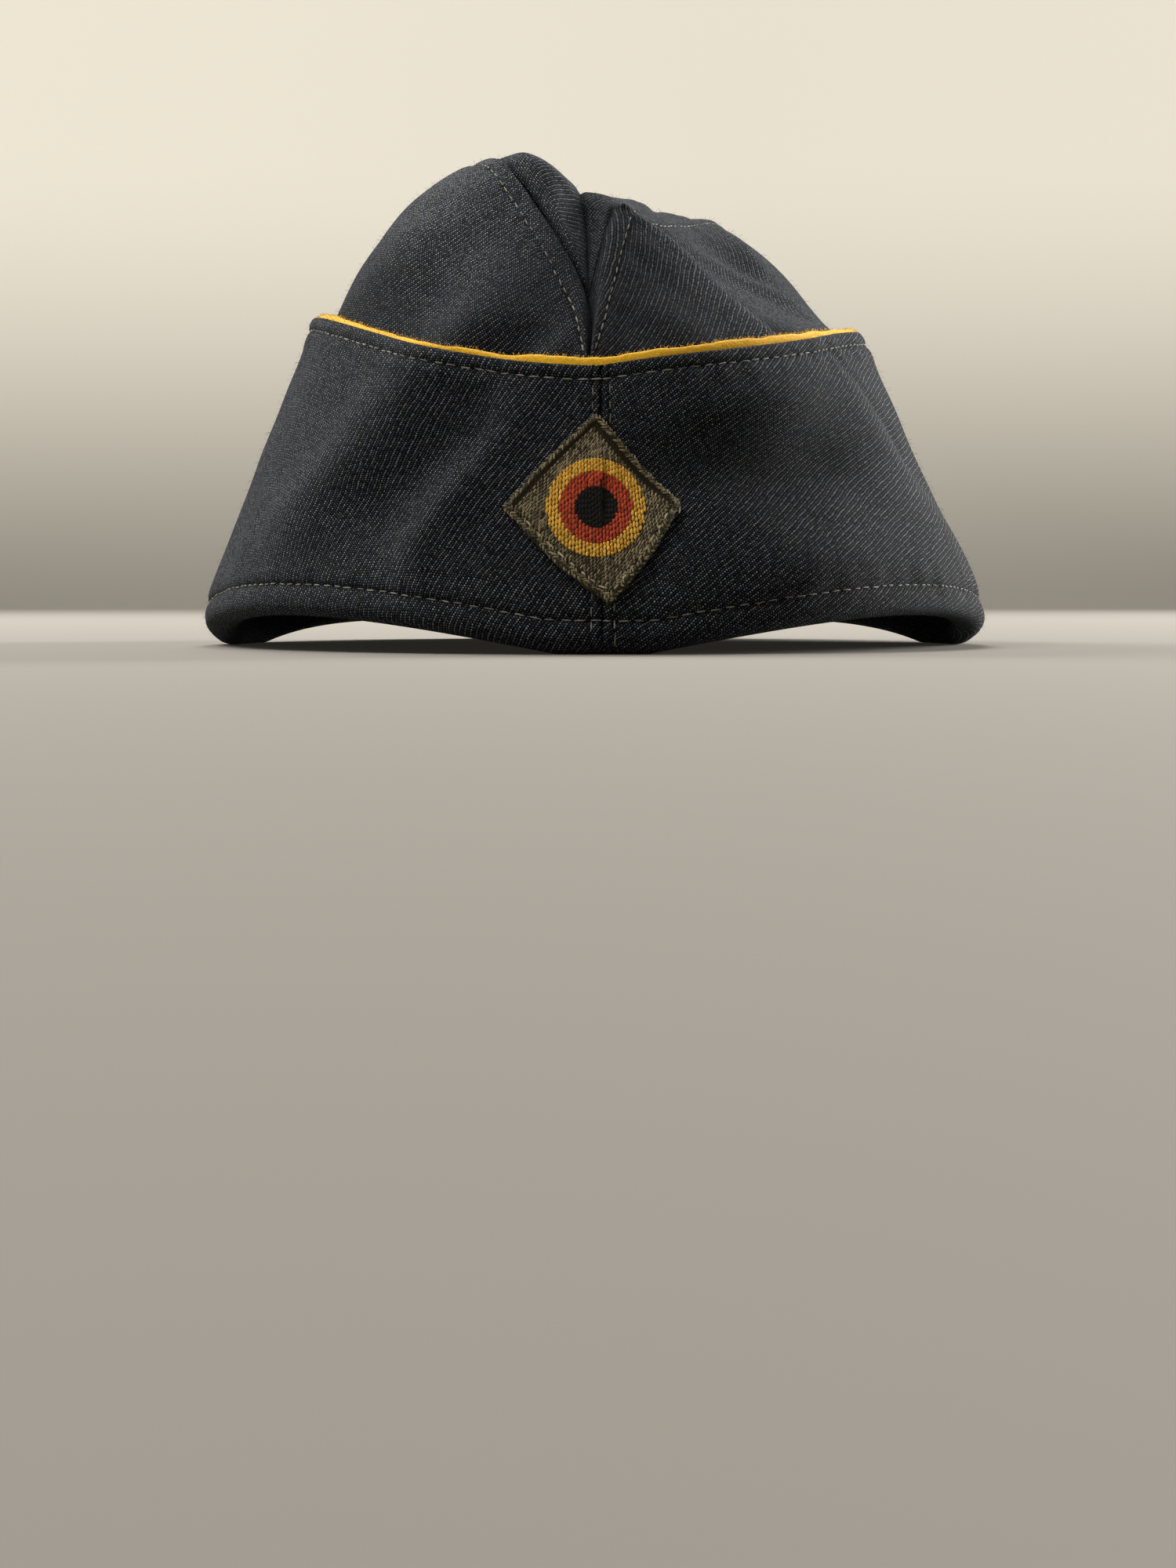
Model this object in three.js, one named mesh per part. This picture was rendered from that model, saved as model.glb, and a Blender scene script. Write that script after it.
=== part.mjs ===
// A soft side cap of wool twill, as it stands open on its rim.
//
// Two side panels and a folded-in top piece make the crown. A turn-up in two halves is folded up
// round it from the rim, with felt piping behind its top edge and a diamond cockade patch sewn on
// its front seam. Units are millimetres. +Z is up, the front faces -Y, and left and right are as
// seen from the front, so left is -X. The origin is on the surface under the middle of the rim.

import * as THREE from "three";

const LEFT = -1;
const RIGHT = 1;

// Cloth
const TURN_UP_WALL = 2.2; // two layers of twill
const CROWN_WALL = 1.8;
const CROWN_WALL_LEVEL = 1.95; // the same, measured level through the leaning wall
const RIDGE_CUT = 2.0; // depth of a panel's edge along the seams of the top piece
const SEAM_GAP = 0.4; // between the cut edges that meet at a seam
const TOP_EDGE_BACK = 0.35; // how far the top piece's edge stays back from the side panels'
const TOP_EDGE_BACK_SHARE = 0.5; // at the narrow tips, no more than this share of its half width
const TOP_PIECE_ROOM = 3.0; // depth under a ridge that the side panels leave to the top piece

// Turn-up: straight walls that lean in, rolled in at the hem
const RIM_HALF_WIDTH = 82.4; // where the straight walls would meet the floor
const RIM_HALF_LENGTH = 104.0;
const HEM_ROLL = 2.4; // how far the hem is rolled in under the straight wall
const HEM_SHARE = 0.2; // the share of the wall's height that the roll takes
const TURN_UP_TOP = {
  halfWidth: { [LEFT]: 57.6, [RIGHT]: 55.0 },
  halfLengthFront: 85.0,
  halfLengthBack: 87.0,
  heightFront: 51.0,
  heightSide: { [LEFT]: 66.5, [RIGHT]: 63.5 },
  heightBack: 58.0,
};

// The rim touches down at the front, the sides and the back, and arches a little between them
const ARCH_FRONT = 6.6;
const ARCH_REAR = 4.5;
const TOUCH_DEPTH = 1.6; // how much of the arch is flattened where it touches down
const SIDE_TOUCH_ANGLE = THREE.MathUtils.degToRad(100);

// Fold at the rim, as distances in from the outer face and up from the bottom
const FOLD = [
  { inward: 0.8, up: 0.7 },
  { inward: 2.3, up: 0 },
  { inward: 5.0, up: 0 },
  { inward: 6.7, up: 1.3 },
];
const FOLD_LEG_SHARE = 0.045; // how far up the crown's inside the folded edge reaches
const FOLD_LEG_WALL = 1.4;
const CHANNEL = { floor: 1.9, outer: 2.3, inner: 4.9 }; // the groove that takes the crown's lower edge
const CLEARANCE = 0.4;

// Piping behind the top edge
const LIP_WALL = 0.9; // the outer cloth in front of the piping
const LEDGE_DROP = 1.5; // the piping stands this far down behind the lip
const PIPING_GAP = 0.3;
const PIPING_WIDTH = 1.6;
const PIPING_HEIGHT = 3.5;
const PIPING_SECTION = [
  { across: 0, up: 0 },
  { across: 1, up: 0 },
  { across: 1, up: 0.72 },
  { across: 0.78, up: 0.95 },
  { across: 0.22, up: 0.95 },
  { across: 0, up: 0.72 },
];

// Crown: side panels rise straight behind the turn-up to a waist, then round over to a ridge
const CROWN_BASE_UP = 3.0;
const CROWN_GAP_SIDE = 4.4; // between turn-up and crown at the waist
const CROWN_GAP_FRONT = 1.5;
const WAIST_DROP = 12.0; // at the front and back the waist is this far below the turn-up's edge
const WAIST_SHARE = 0.5; // the waist's place on the way from base (0) to ridge (1)

// Seam between each side panel and the top piece, from the front tip (0) to the back tip (1).
// rise is how far the wall carries on past its waist before it rounds over, and swell how far it
// stands out on the way.
const RIDGE = {
  [LEFT]: [
    { along: 0.0, x: -2.4, y: -82, z: 51, rise: 3, swell: 0 },
    { along: 0.12, x: -4.4, y: -69, z: 64, rise: 8, swell: 0 },
    { along: 0.25, x: -13, y: -49, z: 83, rise: 18, swell: 0 },
    { along: 0.36, x: -20, y: -34, z: 94.5, rise: 25, swell: 0 },
    { along: 0.52, x: -26, y: 0, z: 97.5, rise: 27, swell: 0 },
    { along: 0.7, x: -26, y: 38, z: 94, rise: 26, swell: 3 },
    { along: 0.86, x: -16, y: 65, z: 79, rise: 15, swell: 2 },
    { along: 1.0, x: -0.1, y: 83, z: 54, rise: 3, swell: 0 },
  ],
  [RIGHT]: [
    { along: 0.0, x: -2.2, y: -82, z: 51, rise: 3, swell: 0 },
    { along: 0.12, x: 1.2, y: -69, z: 64, rise: 6, swell: 0 },
    { along: 0.24, x: 5.6, y: -50, z: 82, rise: 8, swell: 0 },
    { along: 0.33, x: 8, y: -40, z: 86.5, rise: 7, swell: 0 },
    { along: 0.48, x: 18, y: -6, z: 89, rise: 14, swell: 3 },
    { along: 0.62, x: 26, y: 26, z: 92.5, rise: 24, swell: 9.5 },
    { along: 0.72, x: 27, y: 44, z: 91, rise: 25, swell: 8 },
    { along: 0.87, x: 16, y: 67, z: 78, rise: 15, swell: 3 },
    { along: 1.0, x: 0.1, y: 83, z: 54, rise: 3, swell: 0 },
  ],
};

// Crease down the middle of the top piece
const CREASE = [
  { along: 0.0, x: -2.3, y: -82, z: 50 },
  { along: 0.12, x: -2.0, y: -69, z: 61 },
  { along: 0.25, x: -2.2, y: -49, z: 79 },
  { along: 0.36, x: -2.3, y: -38, z: 86.5 },
  { along: 0.5, x: -1.5, y: -4, z: 82 },
  { along: 0.7, x: 0, y: 38, z: 80 },
  { along: 0.86, x: 0, y: 66, z: 70 },
  { along: 1.0, x: 0, y: 83, z: 53 },
];
const PUFF = { [LEFT]: 10.0, [RIGHT]: 3.6 }; // draws up each half of the top piece from seam to crease
const PUFF_SHARE = 0.6; // the same as a share of the half's width, where that is less

// Folds in the crown's sides: a valley from one place to another on a panel.
// along runs from front (0) to back (1), and up from the waist (0) to the ridge (1).
const CROWN_FOLDS = [
  { side: RIGHT, from: { along: 0.5, up: 0.1 }, to: { along: 0.4, up: 0.85 }, width: 0.1, depth: 7 },
  { side: LEFT, from: { along: 0.2, up: 0.15 }, to: { along: 0.28, up: 0.6 }, width: 0.08, depth: 1.6 },
];
const FOLD_DROP = 0.4; // a fold sinks by this share of its depth as it goes in
const FOLD_FADE = 0.3; // how far past its ends a fold dies out

// Broad hollows and swells in the turn-up, by angle round from the front seam
const TURN_UP_WAVES = [
  { side: LEFT, angle: 14, up: 0.72, depth: 0.9, wide: 9, tall: 0.25 },
  { side: LEFT, angle: 31, up: 0.45, depth: -1.0, wide: 11, tall: 0.45 },
  { side: RIGHT, angle: 22, up: 0.6, depth: 1.0, wide: 11, tall: 0.25 },
  { side: RIGHT, angle: 52, up: 0.6, depth: -1.0, wide: 14, tall: 0.4 },
];

// Cockade, on the front of the turn-up
const PATCH_UP = 0.5; // its centre, as a share of the wall's height
const PATCH_CORNERS = {
  top: { across: -0.3, up: 17.2 },
  right: { across: 13.9, up: -0.4 },
  bottom: { across: 0.4, up: -18.5 },
  left: { across: -17.1, up: 0.6 },
};
const PATCH_WALL = 0.9;
const COCKADE_ACROSS = -0.6; // the rings' centre, a little to the left of the seam
const COCKADE_STRETCH = 1.07; // the woven rings are a little taller than wide
const RING_WALL = 0.5;
const COCKADE_GAP = 0.3;
const COCKADE_RINGS = [
  { name: "cockade_ring_gold", inner: 6.35, outer: 8.7, colour: 0xb98322 },
  { name: "cockade_ring_red", inner: 3.85, outer: 6.05, colour: 0x8e2c1b },
  { name: "cockade_centre_black", inner: 0, outer: 3.55, colour: 0x14140f },
];

// Fineness of the faceted solids
const STATIONS = 36; // steps from the front seam to the back seam
const TURN_UP_ROWS = [1, 0.75, 0.5, 0.25, 0.13, 0.06];
const CROWN_ROWS = [0, 0.25, 0.5, 0.57, 0.64, 0.71, 0.78, 0.85, 0.91, 0.96, 1];
const TOP_COLUMNS = [-1, -0.8, -0.6, -0.4, -0.2, -0.06, 0.06, 0.25, 0.5, 0.75, 1];
const TOP_ENDS = { front: 0.012, back: 0.988 };
const PATCH_STEPS = 8;
const RING_STEPS = 32;

const WOOL = { color: 0x3b3e47, roughness: 0.95, metalness: 0 };
const FELT = { color: 0xdf9d1c, roughness: 0.95, metalness: 0 };
const WOVEN_GREY = { color: 0x6a624c, roughness: 0.85, metalness: 0 };

const UP = new THREE.Vector3(0, 0, 1);
const PROBE = 0.005; // small step on a face, to find its directions

// A smooth curve through a table's rows at a place along it, one value for each column.
function tableAt(rows, along) {
  const last = rows.length - 2;
  const found = rows.findIndex((row, i) => i <= last && along < rows[i + 1].along);
  const i = found < 0 ? last : found;
  const step = rows[i + 1].along - rows[i].along;
  const u = (along - rows[i].along) / step;
  const slope = (k, column) => {
    const before = rows[Math.max(k - 1, 0)];
    const after = rows[Math.min(k + 1, rows.length - 1)];
    return (after[column] - before[column]) / (after.along - before.along);
  };
  const value = {};
  for (const column of Object.keys(rows[0])) {
    value[column] =
      (1 + 2 * u) * (1 - u) ** 2 * rows[i][column] +
      u * (1 - u) ** 2 * step * slope(i, column) +
      u ** 2 * (3 - 2 * u) * rows[i + 1][column] +
      u ** 2 * (u - 1) * step * slope(i + 1, column);
  }
  return value;
}

function pointOf(row) {
  return new THREE.Vector3(row.x, row.y, row.z);
}

function bell(distance, width) {
  return Math.exp(-((distance / width) ** 2));
}

// Turn-up

// Height of the rim's bottom at an angle round from the front seam (0) to the back seam (PI).
function rimHeight(angle) {
  const atFront = angle < SIDE_TOUCH_ANGLE;
  const arch = atFront ? ARCH_FRONT : ARCH_REAR;
  const share = atFront
    ? angle / SIDE_TOUCH_ANGLE
    : (angle - SIDE_TOUCH_ANGLE) / (Math.PI - SIDE_TOUCH_ANGLE);
  return Math.max(0, (arch + TOUCH_DEPTH) * Math.sin(Math.PI * share) - TOUCH_DEPTH);
}

function turnUpHeight(side, angle) {
  const end = angle < Math.PI / 2 ? TURN_UP_TOP.heightFront : TURN_UP_TOP.heightBack;
  return end + (TURN_UP_TOP.heightSide[side] - end) * Math.sin(angle) ** 2;
}

function outward(side, angle) {
  return new THREE.Vector3(
    (side * Math.sin(angle)) / RIM_HALF_WIDTH,
    -Math.cos(angle) / RIM_HALF_LENGTH,
    0,
  ).normalize();
}

// Outer face of the turn-up, from the fold (up 0) to the top edge (up 1).
function turnUpFace(side, angle, up) {
  const topLength = angle < Math.PI / 2 ? TURN_UP_TOP.halfLengthFront : TURN_UP_TOP.halfLengthBack;
  const halfWidth = THREE.MathUtils.lerp(RIM_HALF_WIDTH, TURN_UP_TOP.halfWidth[side], up);
  const halfLength = THREE.MathUtils.lerp(RIM_HALF_LENGTH, topLength, up);
  const rolledIn = HEM_ROLL * Math.max(0, 1 - up / HEM_SHARE) ** 2;
  const hollow = TURN_UP_WAVES.filter((wave) => wave.side === side).reduce((sum, wave) => {
    const round = THREE.MathUtils.radToDeg(angle) - wave.angle;
    return sum + wave.depth * bell(round, wave.wide) * bell(up - wave.up, wave.tall);
  }, 0);
  const height = THREE.MathUtils.lerp(rimHeight(angle), turnUpHeight(side, angle), up);
  return new THREE.Vector3(
    side * halfWidth * Math.sin(angle),
    -halfLength * Math.cos(angle),
    height,
  ).addScaledVector(outward(side, angle), -rolledIn - hollow);
}

// Crown

function crownBase(side, angle) {
  return turnUpFace(side, angle, 0)
    .addScaledVector(outward(side, angle), -(TURN_UP_WALL + CLEARANCE))
    .addScaledVector(UP, CROWN_BASE_UP);
}

function crownWaist(side, angle) {
  const up = 1 - (WAIST_DROP * Math.cos(angle) ** 2) / turnUpHeight(side, angle);
  const gap = THREE.MathUtils.lerp(CROWN_GAP_FRONT, CROWN_GAP_SIDE, Math.sin(angle) ** 2);
  return turnUpFace(side, angle, up).addScaledVector(outward(side, angle), -(TURN_UP_WALL + gap));
}

// How far in a side panel is folded at a place on it.
function crownFold(side, along, up) {
  return CROWN_FOLDS.filter((fold) => fold.side === side).reduce((sum, fold) => {
    const runAlong = fold.to.along - fold.from.along;
    const runUp = fold.to.up - fold.from.up;
    const share = THREE.MathUtils.clamp((up - fold.from.up) / runUp, 0, 1);
    const across = along - (fold.from.along + runAlong * share);
    const beyond = up - (fold.from.up + runUp * share);
    const fade = Math.sin(Math.PI * THREE.MathUtils.clamp(up, 0, 1));
    return sum + fold.depth * bell(across, fold.width) * bell(beyond, FOLD_FADE) * fade;
  }, 0);
}

// Outer face of a side panel, from the rim (up 0) by the waist to the ridge (up 1).
function crownSideFace(side, along, up) {
  const angle = Math.PI * along;
  const base = crownBase(side, angle);
  const waist = crownWaist(side, angle);
  if (up <= WAIST_SHARE) return base.lerp(waist, up / WAIST_SHARE);
  const row = tableAt(RIDGE[side], along);
  const shoulder = waist
    .clone()
    .addScaledVector(waist.clone().sub(base).normalize(), row.rise)
    .addScaledVector(outward(side, angle), row.swell);
  const rounding = (up - WAIST_SHARE) / (1 - WAIST_SHARE);
  const folded = crownFold(side, along, rounding);
  const face = new THREE.QuadraticBezierCurve3(waist, shoulder, pointOf(row)).getPoint(rounding);
  return face.add(new THREE.Vector3(-side * folded, 0, -FOLD_DROP * folded));
}

// Outer face of the top piece, from the left ridge (-1) by the crease (0) to the right ridge (1).
function crownTopFace(along, across) {
  const side = across < 0 ? LEFT : RIGHT;
  const crease = pointOf(tableAt(CREASE, along));
  const ridge = pointOf(tableAt(RIDGE[side], along));
  const puff = Math.min(PUFF[side], PUFF_SHARE * ridge.distanceTo(crease));
  const control = ridge.clone().lerp(crease, 0.5).addScaledVector(UP, puff);
  return new THREE.QuadraticBezierCurve3(crease, control, ridge).getPoint(Math.abs(across));
}

// The way that edges along the ridges and tips are cut: down, square to the crease.
function cutDown(along) {
  const run = pointOf(tableAt(CREASE, Math.min(along + PROBE, 1)))
    .sub(pointOf(tableAt(CREASE, Math.max(along - PROBE, 0))))
    .normalize();
  return UP.clone().negate().addScaledVector(run, run.z).normalize();
}

// Into the cloth from a side panel's face, square to it.
function inwardFrom(side, along, up) {
  const face = (a, u) => crownSideFace(side, a, u);
  const back = face(Math.min(along + PROBE, 1), up).sub(face(Math.max(along - PROBE, 0), up));
  const rising = face(along, Math.min(up + PROBE, 1)).sub(face(along, Math.max(up - PROBE, 0)));
  return back.cross(rising).multiplyScalar(-side).normalize();
}

// Solids

// A closed mesh from rings of points, each ring a closed section, with the ends capped or joined.
function sweepRings(rings, closed) {
  const size = rings[0].length;
  const positions = rings.flat().flatMap((point) => point.toArray());
  const index = [];
  const steps = closed ? rings.length : rings.length - 1;
  for (let i = 0; i < steps; i++) {
    const here = i * size;
    const next = ((i + 1) % rings.length) * size;
    for (let j = 0; j < size; j++) {
      const k = (j + 1) % size;
      index.push(here + j, next + j, next + k, here + j, next + k, here + k);
    }
  }
  if (!closed) {
    const last = (rings.length - 1) * size;
    for (const [a, b, c] of capTriangles(rings[0])) index.push(a, b, c);
    for (const [a, b, c] of capTriangles(rings[rings.length - 1])) index.push(last + a, last + c, last + b);
  }
  return facingOut(positions, index);
}

// Triangles over a flat section, worked out in the plane of outward distance and height.
function capTriangles(ring) {
  const flat = ring.map((point) => new THREE.Vector2(point.y, point.z));
  const triangles = THREE.ShapeUtils.triangulateShape(flat, []);
  return THREE.ShapeUtils.isClockWise(flat) ? triangles.map(([a, b, c]) => [a, c, b]) : triangles;
}

// A wall between a grid of outer points and the same grid moved into the cloth.
function wallBetween(outer, inner) {
  const rows = outer.length;
  const columns = outer[0].length;
  const at = (layer, i, j) => layer * rows * columns + i * columns + j;
  const index = [];
  const points = [...outer.flat(), ...inner.flat()];
  const positions = points.flatMap((point) => point.toArray());
  const quad = (a, b, c, d) => {
    const straight = points[a].distanceTo(points[c]) <= points[b].distanceTo(points[d]);
    index.push(...(straight ? [a, b, c, a, c, d] : [a, b, d, b, c, d]));
  };
  for (let i = 0; i < rows - 1; i++) {
    for (let j = 0; j < columns - 1; j++) {
      quad(at(0, i, j), at(0, i + 1, j), at(0, i + 1, j + 1), at(0, i, j + 1));
      quad(at(1, i, j), at(1, i, j + 1), at(1, i + 1, j + 1), at(1, i + 1, j));
    }
    quad(at(0, i, 0), at(1, i, 0), at(1, i + 1, 0), at(0, i + 1, 0));
    quad(at(0, i + 1, columns - 1), at(1, i + 1, columns - 1), at(1, i, columns - 1), at(0, i, columns - 1));
  }
  for (let j = 0; j < columns - 1; j++) {
    quad(at(0, 0, j + 1), at(1, 0, j + 1), at(1, 0, j), at(0, 0, j));
    quad(at(0, rows - 1, j), at(1, rows - 1, j), at(1, rows - 1, j + 1), at(0, rows - 1, j + 1));
  }
  return facingOut(positions, index);
}

// The geometry with its faces turned to point out of the solid.
function facingOut(positions, index) {
  const corner = (k) => new THREE.Vector3().fromArray(positions, 3 * index[k]);
  let volume = 0;
  for (let k = 0; k < index.length; k += 3) {
    volume += corner(k).dot(corner(k + 1).cross(corner(k + 2)));
  }
  if (volume < 0) {
    for (let k = 0; k < index.length; k += 3) [index[k + 1], index[k + 2]] = [index[k + 2], index[k + 1]];
  }
  const geometry = new THREE.BufferGeometry();
  geometry.setAttribute("position", new THREE.Float32BufferAttribute(positions, 3));
  geometry.setIndex(index);
  geometry.computeVertexNormals();
  return geometry;
}

// Places from the front seam (0) to the back seam (1).
function stations() {
  return Array.from({ length: STATIONS + 1 }, (_, i) => i / STATIONS);
}

// Closed section of a turn-up half: down the outer face, round the fold to its inner leg,
// back along the groove for the crown, and up the inner face to the ledge behind the lip.
function turnUpSection(side, along) {
  const angle = Math.PI * along;
  const inward = outward(side, angle).negate();
  const bottom = turnUpFace(side, angle, 0);
  const inFrom = (up, distance) => turnUpFace(side, angle, up).addScaledVector(inward, distance);
  const nearBottom = (distance, height) =>
    bottom.clone().addScaledVector(inward, distance).addScaledVector(UP, height);
  const legRoot = crownSideFace(side, along, FOLD_LEG_SHARE);
  const legFace = legRoot.addScaledVector(inward, CROWN_WALL_LEVEL + CLEARANCE);
  const ledgeUp = 1 - LEDGE_DROP / turnUpHeight(side, angle);
  const section = [
    ...TURN_UP_ROWS.map((up) => inFrom(up, 0)),
    ...FOLD.map((place) => nearBottom(place.inward, place.up)),
    legFace.clone().addScaledVector(inward, FOLD_LEG_WALL),
    legFace,
    nearBottom(CHANNEL.inner, CHANNEL.floor),
    nearBottom(CHANNEL.outer, CHANNEL.floor),
    ...TURN_UP_ROWS.slice(1, -1).reverse().map((up) => inFrom(up, TURN_UP_WALL)),
    inFrom(ledgeUp, TURN_UP_WALL),
    inFrom(ledgeUp, LIP_WALL),
    inFrom(1, LIP_WALL),
  ];
  for (const point of section) point.x += (side * SEAM_GAP) / 2;
  return section;
}

function turnUpHalf(side) {
  return sweepRings(stations().map((along) => turnUpSection(side, along)), false);
}

// One closed loop of folded felt, standing on the ledge behind the turn-up's lip.
function piping() {
  const round = [
    ...stations().map((along) => ({ side: LEFT, along })),
    ...stations().slice(1, -1).reverse().map((along) => ({ side: RIGHT, along })),
  ];
  const rings = round.map(({ side, along }) => {
    const angle = Math.PI * along;
    const ledgeUp = 1 - LEDGE_DROP / turnUpHeight(side, angle);
    const inward = outward(side, angle).negate();
    const seat = turnUpFace(side, angle, ledgeUp)
      .addScaledVector(inward, LIP_WALL + PIPING_GAP)
      .addScaledVector(UP, PIPING_GAP);
    const lean = turnUpFace(side, angle, 1).sub(turnUpFace(side, angle, 0.5)).normalize();
    return PIPING_SECTION.map((corner) =>
      seat
        .clone()
        .addScaledVector(inward, corner.across * PIPING_WIDTH)
        .addScaledVector(lean, corner.up * PIPING_HEIGHT),
    );
  });
  return sweepRings(rings, true);
}

// The inner face keeps to its own side of the top piece, and of the seam at the tips.
function keepClear(side, along, point, inner) {
  const ridge = tableAt(RIDGE[side], along);
  const besideTop = inner.z > ridge.z - TOP_PIECE_ROOM;
  const limit = (besideTop ? ridge.x : tableAt(CREASE, along).x) + (side * SEAM_GAP) / 2;
  inner.x = side * Math.max(side * inner.x, Math.min(side * limit, side * point.x));
  return inner;
}

function crownSide(side) {
  const outer = [];
  const inner = [];
  for (const along of stations()) {
    const atSeam = along === 0 || along === 1;
    const points = CROWN_ROWS.map((up) => {
      const point = crownSideFace(side, along, up);
      point.x += (side * SEAM_GAP) / 2;
      return point;
    });
    const into = CROWN_ROWS.map((up) => {
      const way = up === 1 ? cutDown(along) : inwardFrom(side, along, up);
      if (atSeam || up === 1) way.x = 0;
      return way.normalize().multiplyScalar(up === 1 ? RIDGE_CUT : CROWN_WALL);
    });
    outer.push(points);
    inner.push(points.map((point, i) => keepClear(side, along, point, point.clone().add(into[i]))));
  }
  return wallBetween(outer, inner);
}

function crownTop() {
  const outer = [];
  const inner = [];
  for (const station of stations()) {
    const along = THREE.MathUtils.clamp(station, TOP_ENDS.front, TOP_ENDS.back);
    const down = cutDown(along).multiplyScalar(CROWN_WALL);
    const points = TOP_COLUMNS.map((across) => {
      const side = Math.sign(across);
      const half = crownTopFace(along, side).distanceTo(crownTopFace(along, 0));
      const reach = Math.abs(across) * (1 - Math.min(TOP_EDGE_BACK / half, TOP_EDGE_BACK_SHARE));
      return crownTopFace(along, side * reach);
    });
    outer.push(points);
    inner.push(points.map((point) => point.clone().add(down)));
  }
  return wallBetween(outer, inner);
}

// A place on the front of the turn-up, by distances across and up from the patch's centre.
function frontPlace(across, up, proud) {
  const side = across < 0 ? LEFT : RIGHT;
  const wallLength = turnUpFace(side, 0, 1).distanceTo(turnUpFace(side, 0, 0));
  const halfWidth = THREE.MathUtils.lerp(RIM_HALF_WIDTH, TURN_UP_TOP.halfWidth[side], PATCH_UP);
  const angle = Math.asin(Math.abs(across) / halfWidth);
  const share = PATCH_UP + up / wallLength;
  const place = turnUpFace(side, angle, share);
  const lean = turnUpFace(side, angle, share + PROBE).sub(turnUpFace(side, angle, share - PROBE)).normalize();
  const round = new THREE.Vector3().crossVectors(UP, outward(side, angle));
  return place.addScaledVector(round.cross(lean).normalize(), proud);
}

function cockadePatch() {
  const steps = Array.from({ length: PATCH_STEPS + 1 }, (_, i) => i / PATCH_STEPS);
  const { top, right, bottom, left } = PATCH_CORNERS;
  const blend = (p, q, column) => {
    const lowerRight = THREE.MathUtils.lerp(bottom[column], right[column], p);
    const upperLeft = THREE.MathUtils.lerp(left[column], top[column], p);
    return THREE.MathUtils.lerp(lowerRight, upperLeft, q);
  };
  const layer = (proud) =>
    steps.map((p) => steps.map((q) => frontPlace(blend(p, q, "across"), blend(p, q, "up"), proud)));
  return wallBetween(layer(COCKADE_GAP + PATCH_WALL), layer(COCKADE_GAP));
}

function cockadeRing({ inner, outer }) {
  const low = COCKADE_GAP + PATCH_WALL + COCKADE_GAP;
  const around = Array.from({ length: RING_STEPS }, (_, i) => (2 * Math.PI * i) / RING_STEPS);
  const place = (turn, radius, proud) =>
    frontPlace(COCKADE_ACROSS + radius * Math.sin(turn), radius * Math.cos(turn) * COCKADE_STRETCH, proud);
  if (inner > 0) {
    const ring = (turn) => [
      place(turn, inner, low),
      place(turn, outer, low),
      place(turn, outer, low + RING_WALL),
      place(turn, inner, low + RING_WALL),
    ];
    return sweepRings(around.map(ring), true);
  }
  const positions = [low, low + RING_WALL].flatMap((proud) =>
    [place(0, 0, proud), ...around.map((turn) => place(turn, outer, proud))].flatMap((p) => p.toArray()),
  );
  const top = RING_STEPS + 1;
  const index = around.flatMap((_, i) => {
    const here = 1 + i;
    const next = 1 + ((i + 1) % RING_STEPS);
    const wall = [here, next, top + next, here, top + next, top + here];
    return [0, next, here, top, top + here, top + next, ...wall];
  });
  return facingOut(positions, index);
}

// Assembly

function piece(name, geometry, finish) {
  const mesh = new THREE.Mesh(geometry, new THREE.MeshStandardMaterial(finish));
  mesh.name = name;
  return mesh;
}

const cap = new THREE.Group();
cap.add(piece("crown_side_left", crownSide(LEFT), WOOL));
cap.add(piece("crown_side_right", crownSide(RIGHT), WOOL));
cap.add(piece("crown_top", crownTop(), WOOL));
cap.add(piece("turn_up_left", turnUpHalf(LEFT), WOOL));
cap.add(piece("turn_up_right", turnUpHalf(RIGHT), WOOL));
cap.add(piece("piping", piping(), FELT));
cap.add(piece("cockade_patch", cockadePatch(), WOVEN_GREY));
for (const ring of COCKADE_RINGS) {
  const thread = { color: ring.colour, roughness: 0.8, metalness: 0 };
  cap.add(piece(ring.name, cockadeRing(ring), thread));
}

export default cap;
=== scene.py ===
"""A soft side cap of dark wool twill with yellow piping and a cockade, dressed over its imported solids."""

import math

import bpy
import numpy as np
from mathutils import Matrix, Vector


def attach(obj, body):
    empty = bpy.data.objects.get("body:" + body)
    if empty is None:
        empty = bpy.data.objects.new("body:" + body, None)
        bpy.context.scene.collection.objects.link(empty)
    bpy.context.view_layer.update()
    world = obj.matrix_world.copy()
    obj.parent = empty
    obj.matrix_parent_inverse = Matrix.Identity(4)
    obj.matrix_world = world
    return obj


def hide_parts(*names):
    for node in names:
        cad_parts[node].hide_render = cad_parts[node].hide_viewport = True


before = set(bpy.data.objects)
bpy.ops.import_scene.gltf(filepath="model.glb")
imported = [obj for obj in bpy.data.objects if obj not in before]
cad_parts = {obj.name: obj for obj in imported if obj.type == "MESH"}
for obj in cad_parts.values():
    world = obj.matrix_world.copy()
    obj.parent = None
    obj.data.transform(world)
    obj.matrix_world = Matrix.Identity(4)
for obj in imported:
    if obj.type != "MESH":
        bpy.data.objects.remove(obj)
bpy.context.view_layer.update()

# Turn-up. Two halves of doubled wool twill, sewn together at the front and back centre and folded
# up round the crown from the rim. A row of topstitching runs under its top edge and another above
# the fold, and a pair of rows holds each centre seam open.
MM = 0.001  # sizes are written in millimetres
LEFT = -1
RIGHT = 1
SIDE_NAMES = {LEFT: "left", RIGHT: "right"}
UP = np.array([0.0, 0.0, 1.0])

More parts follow.
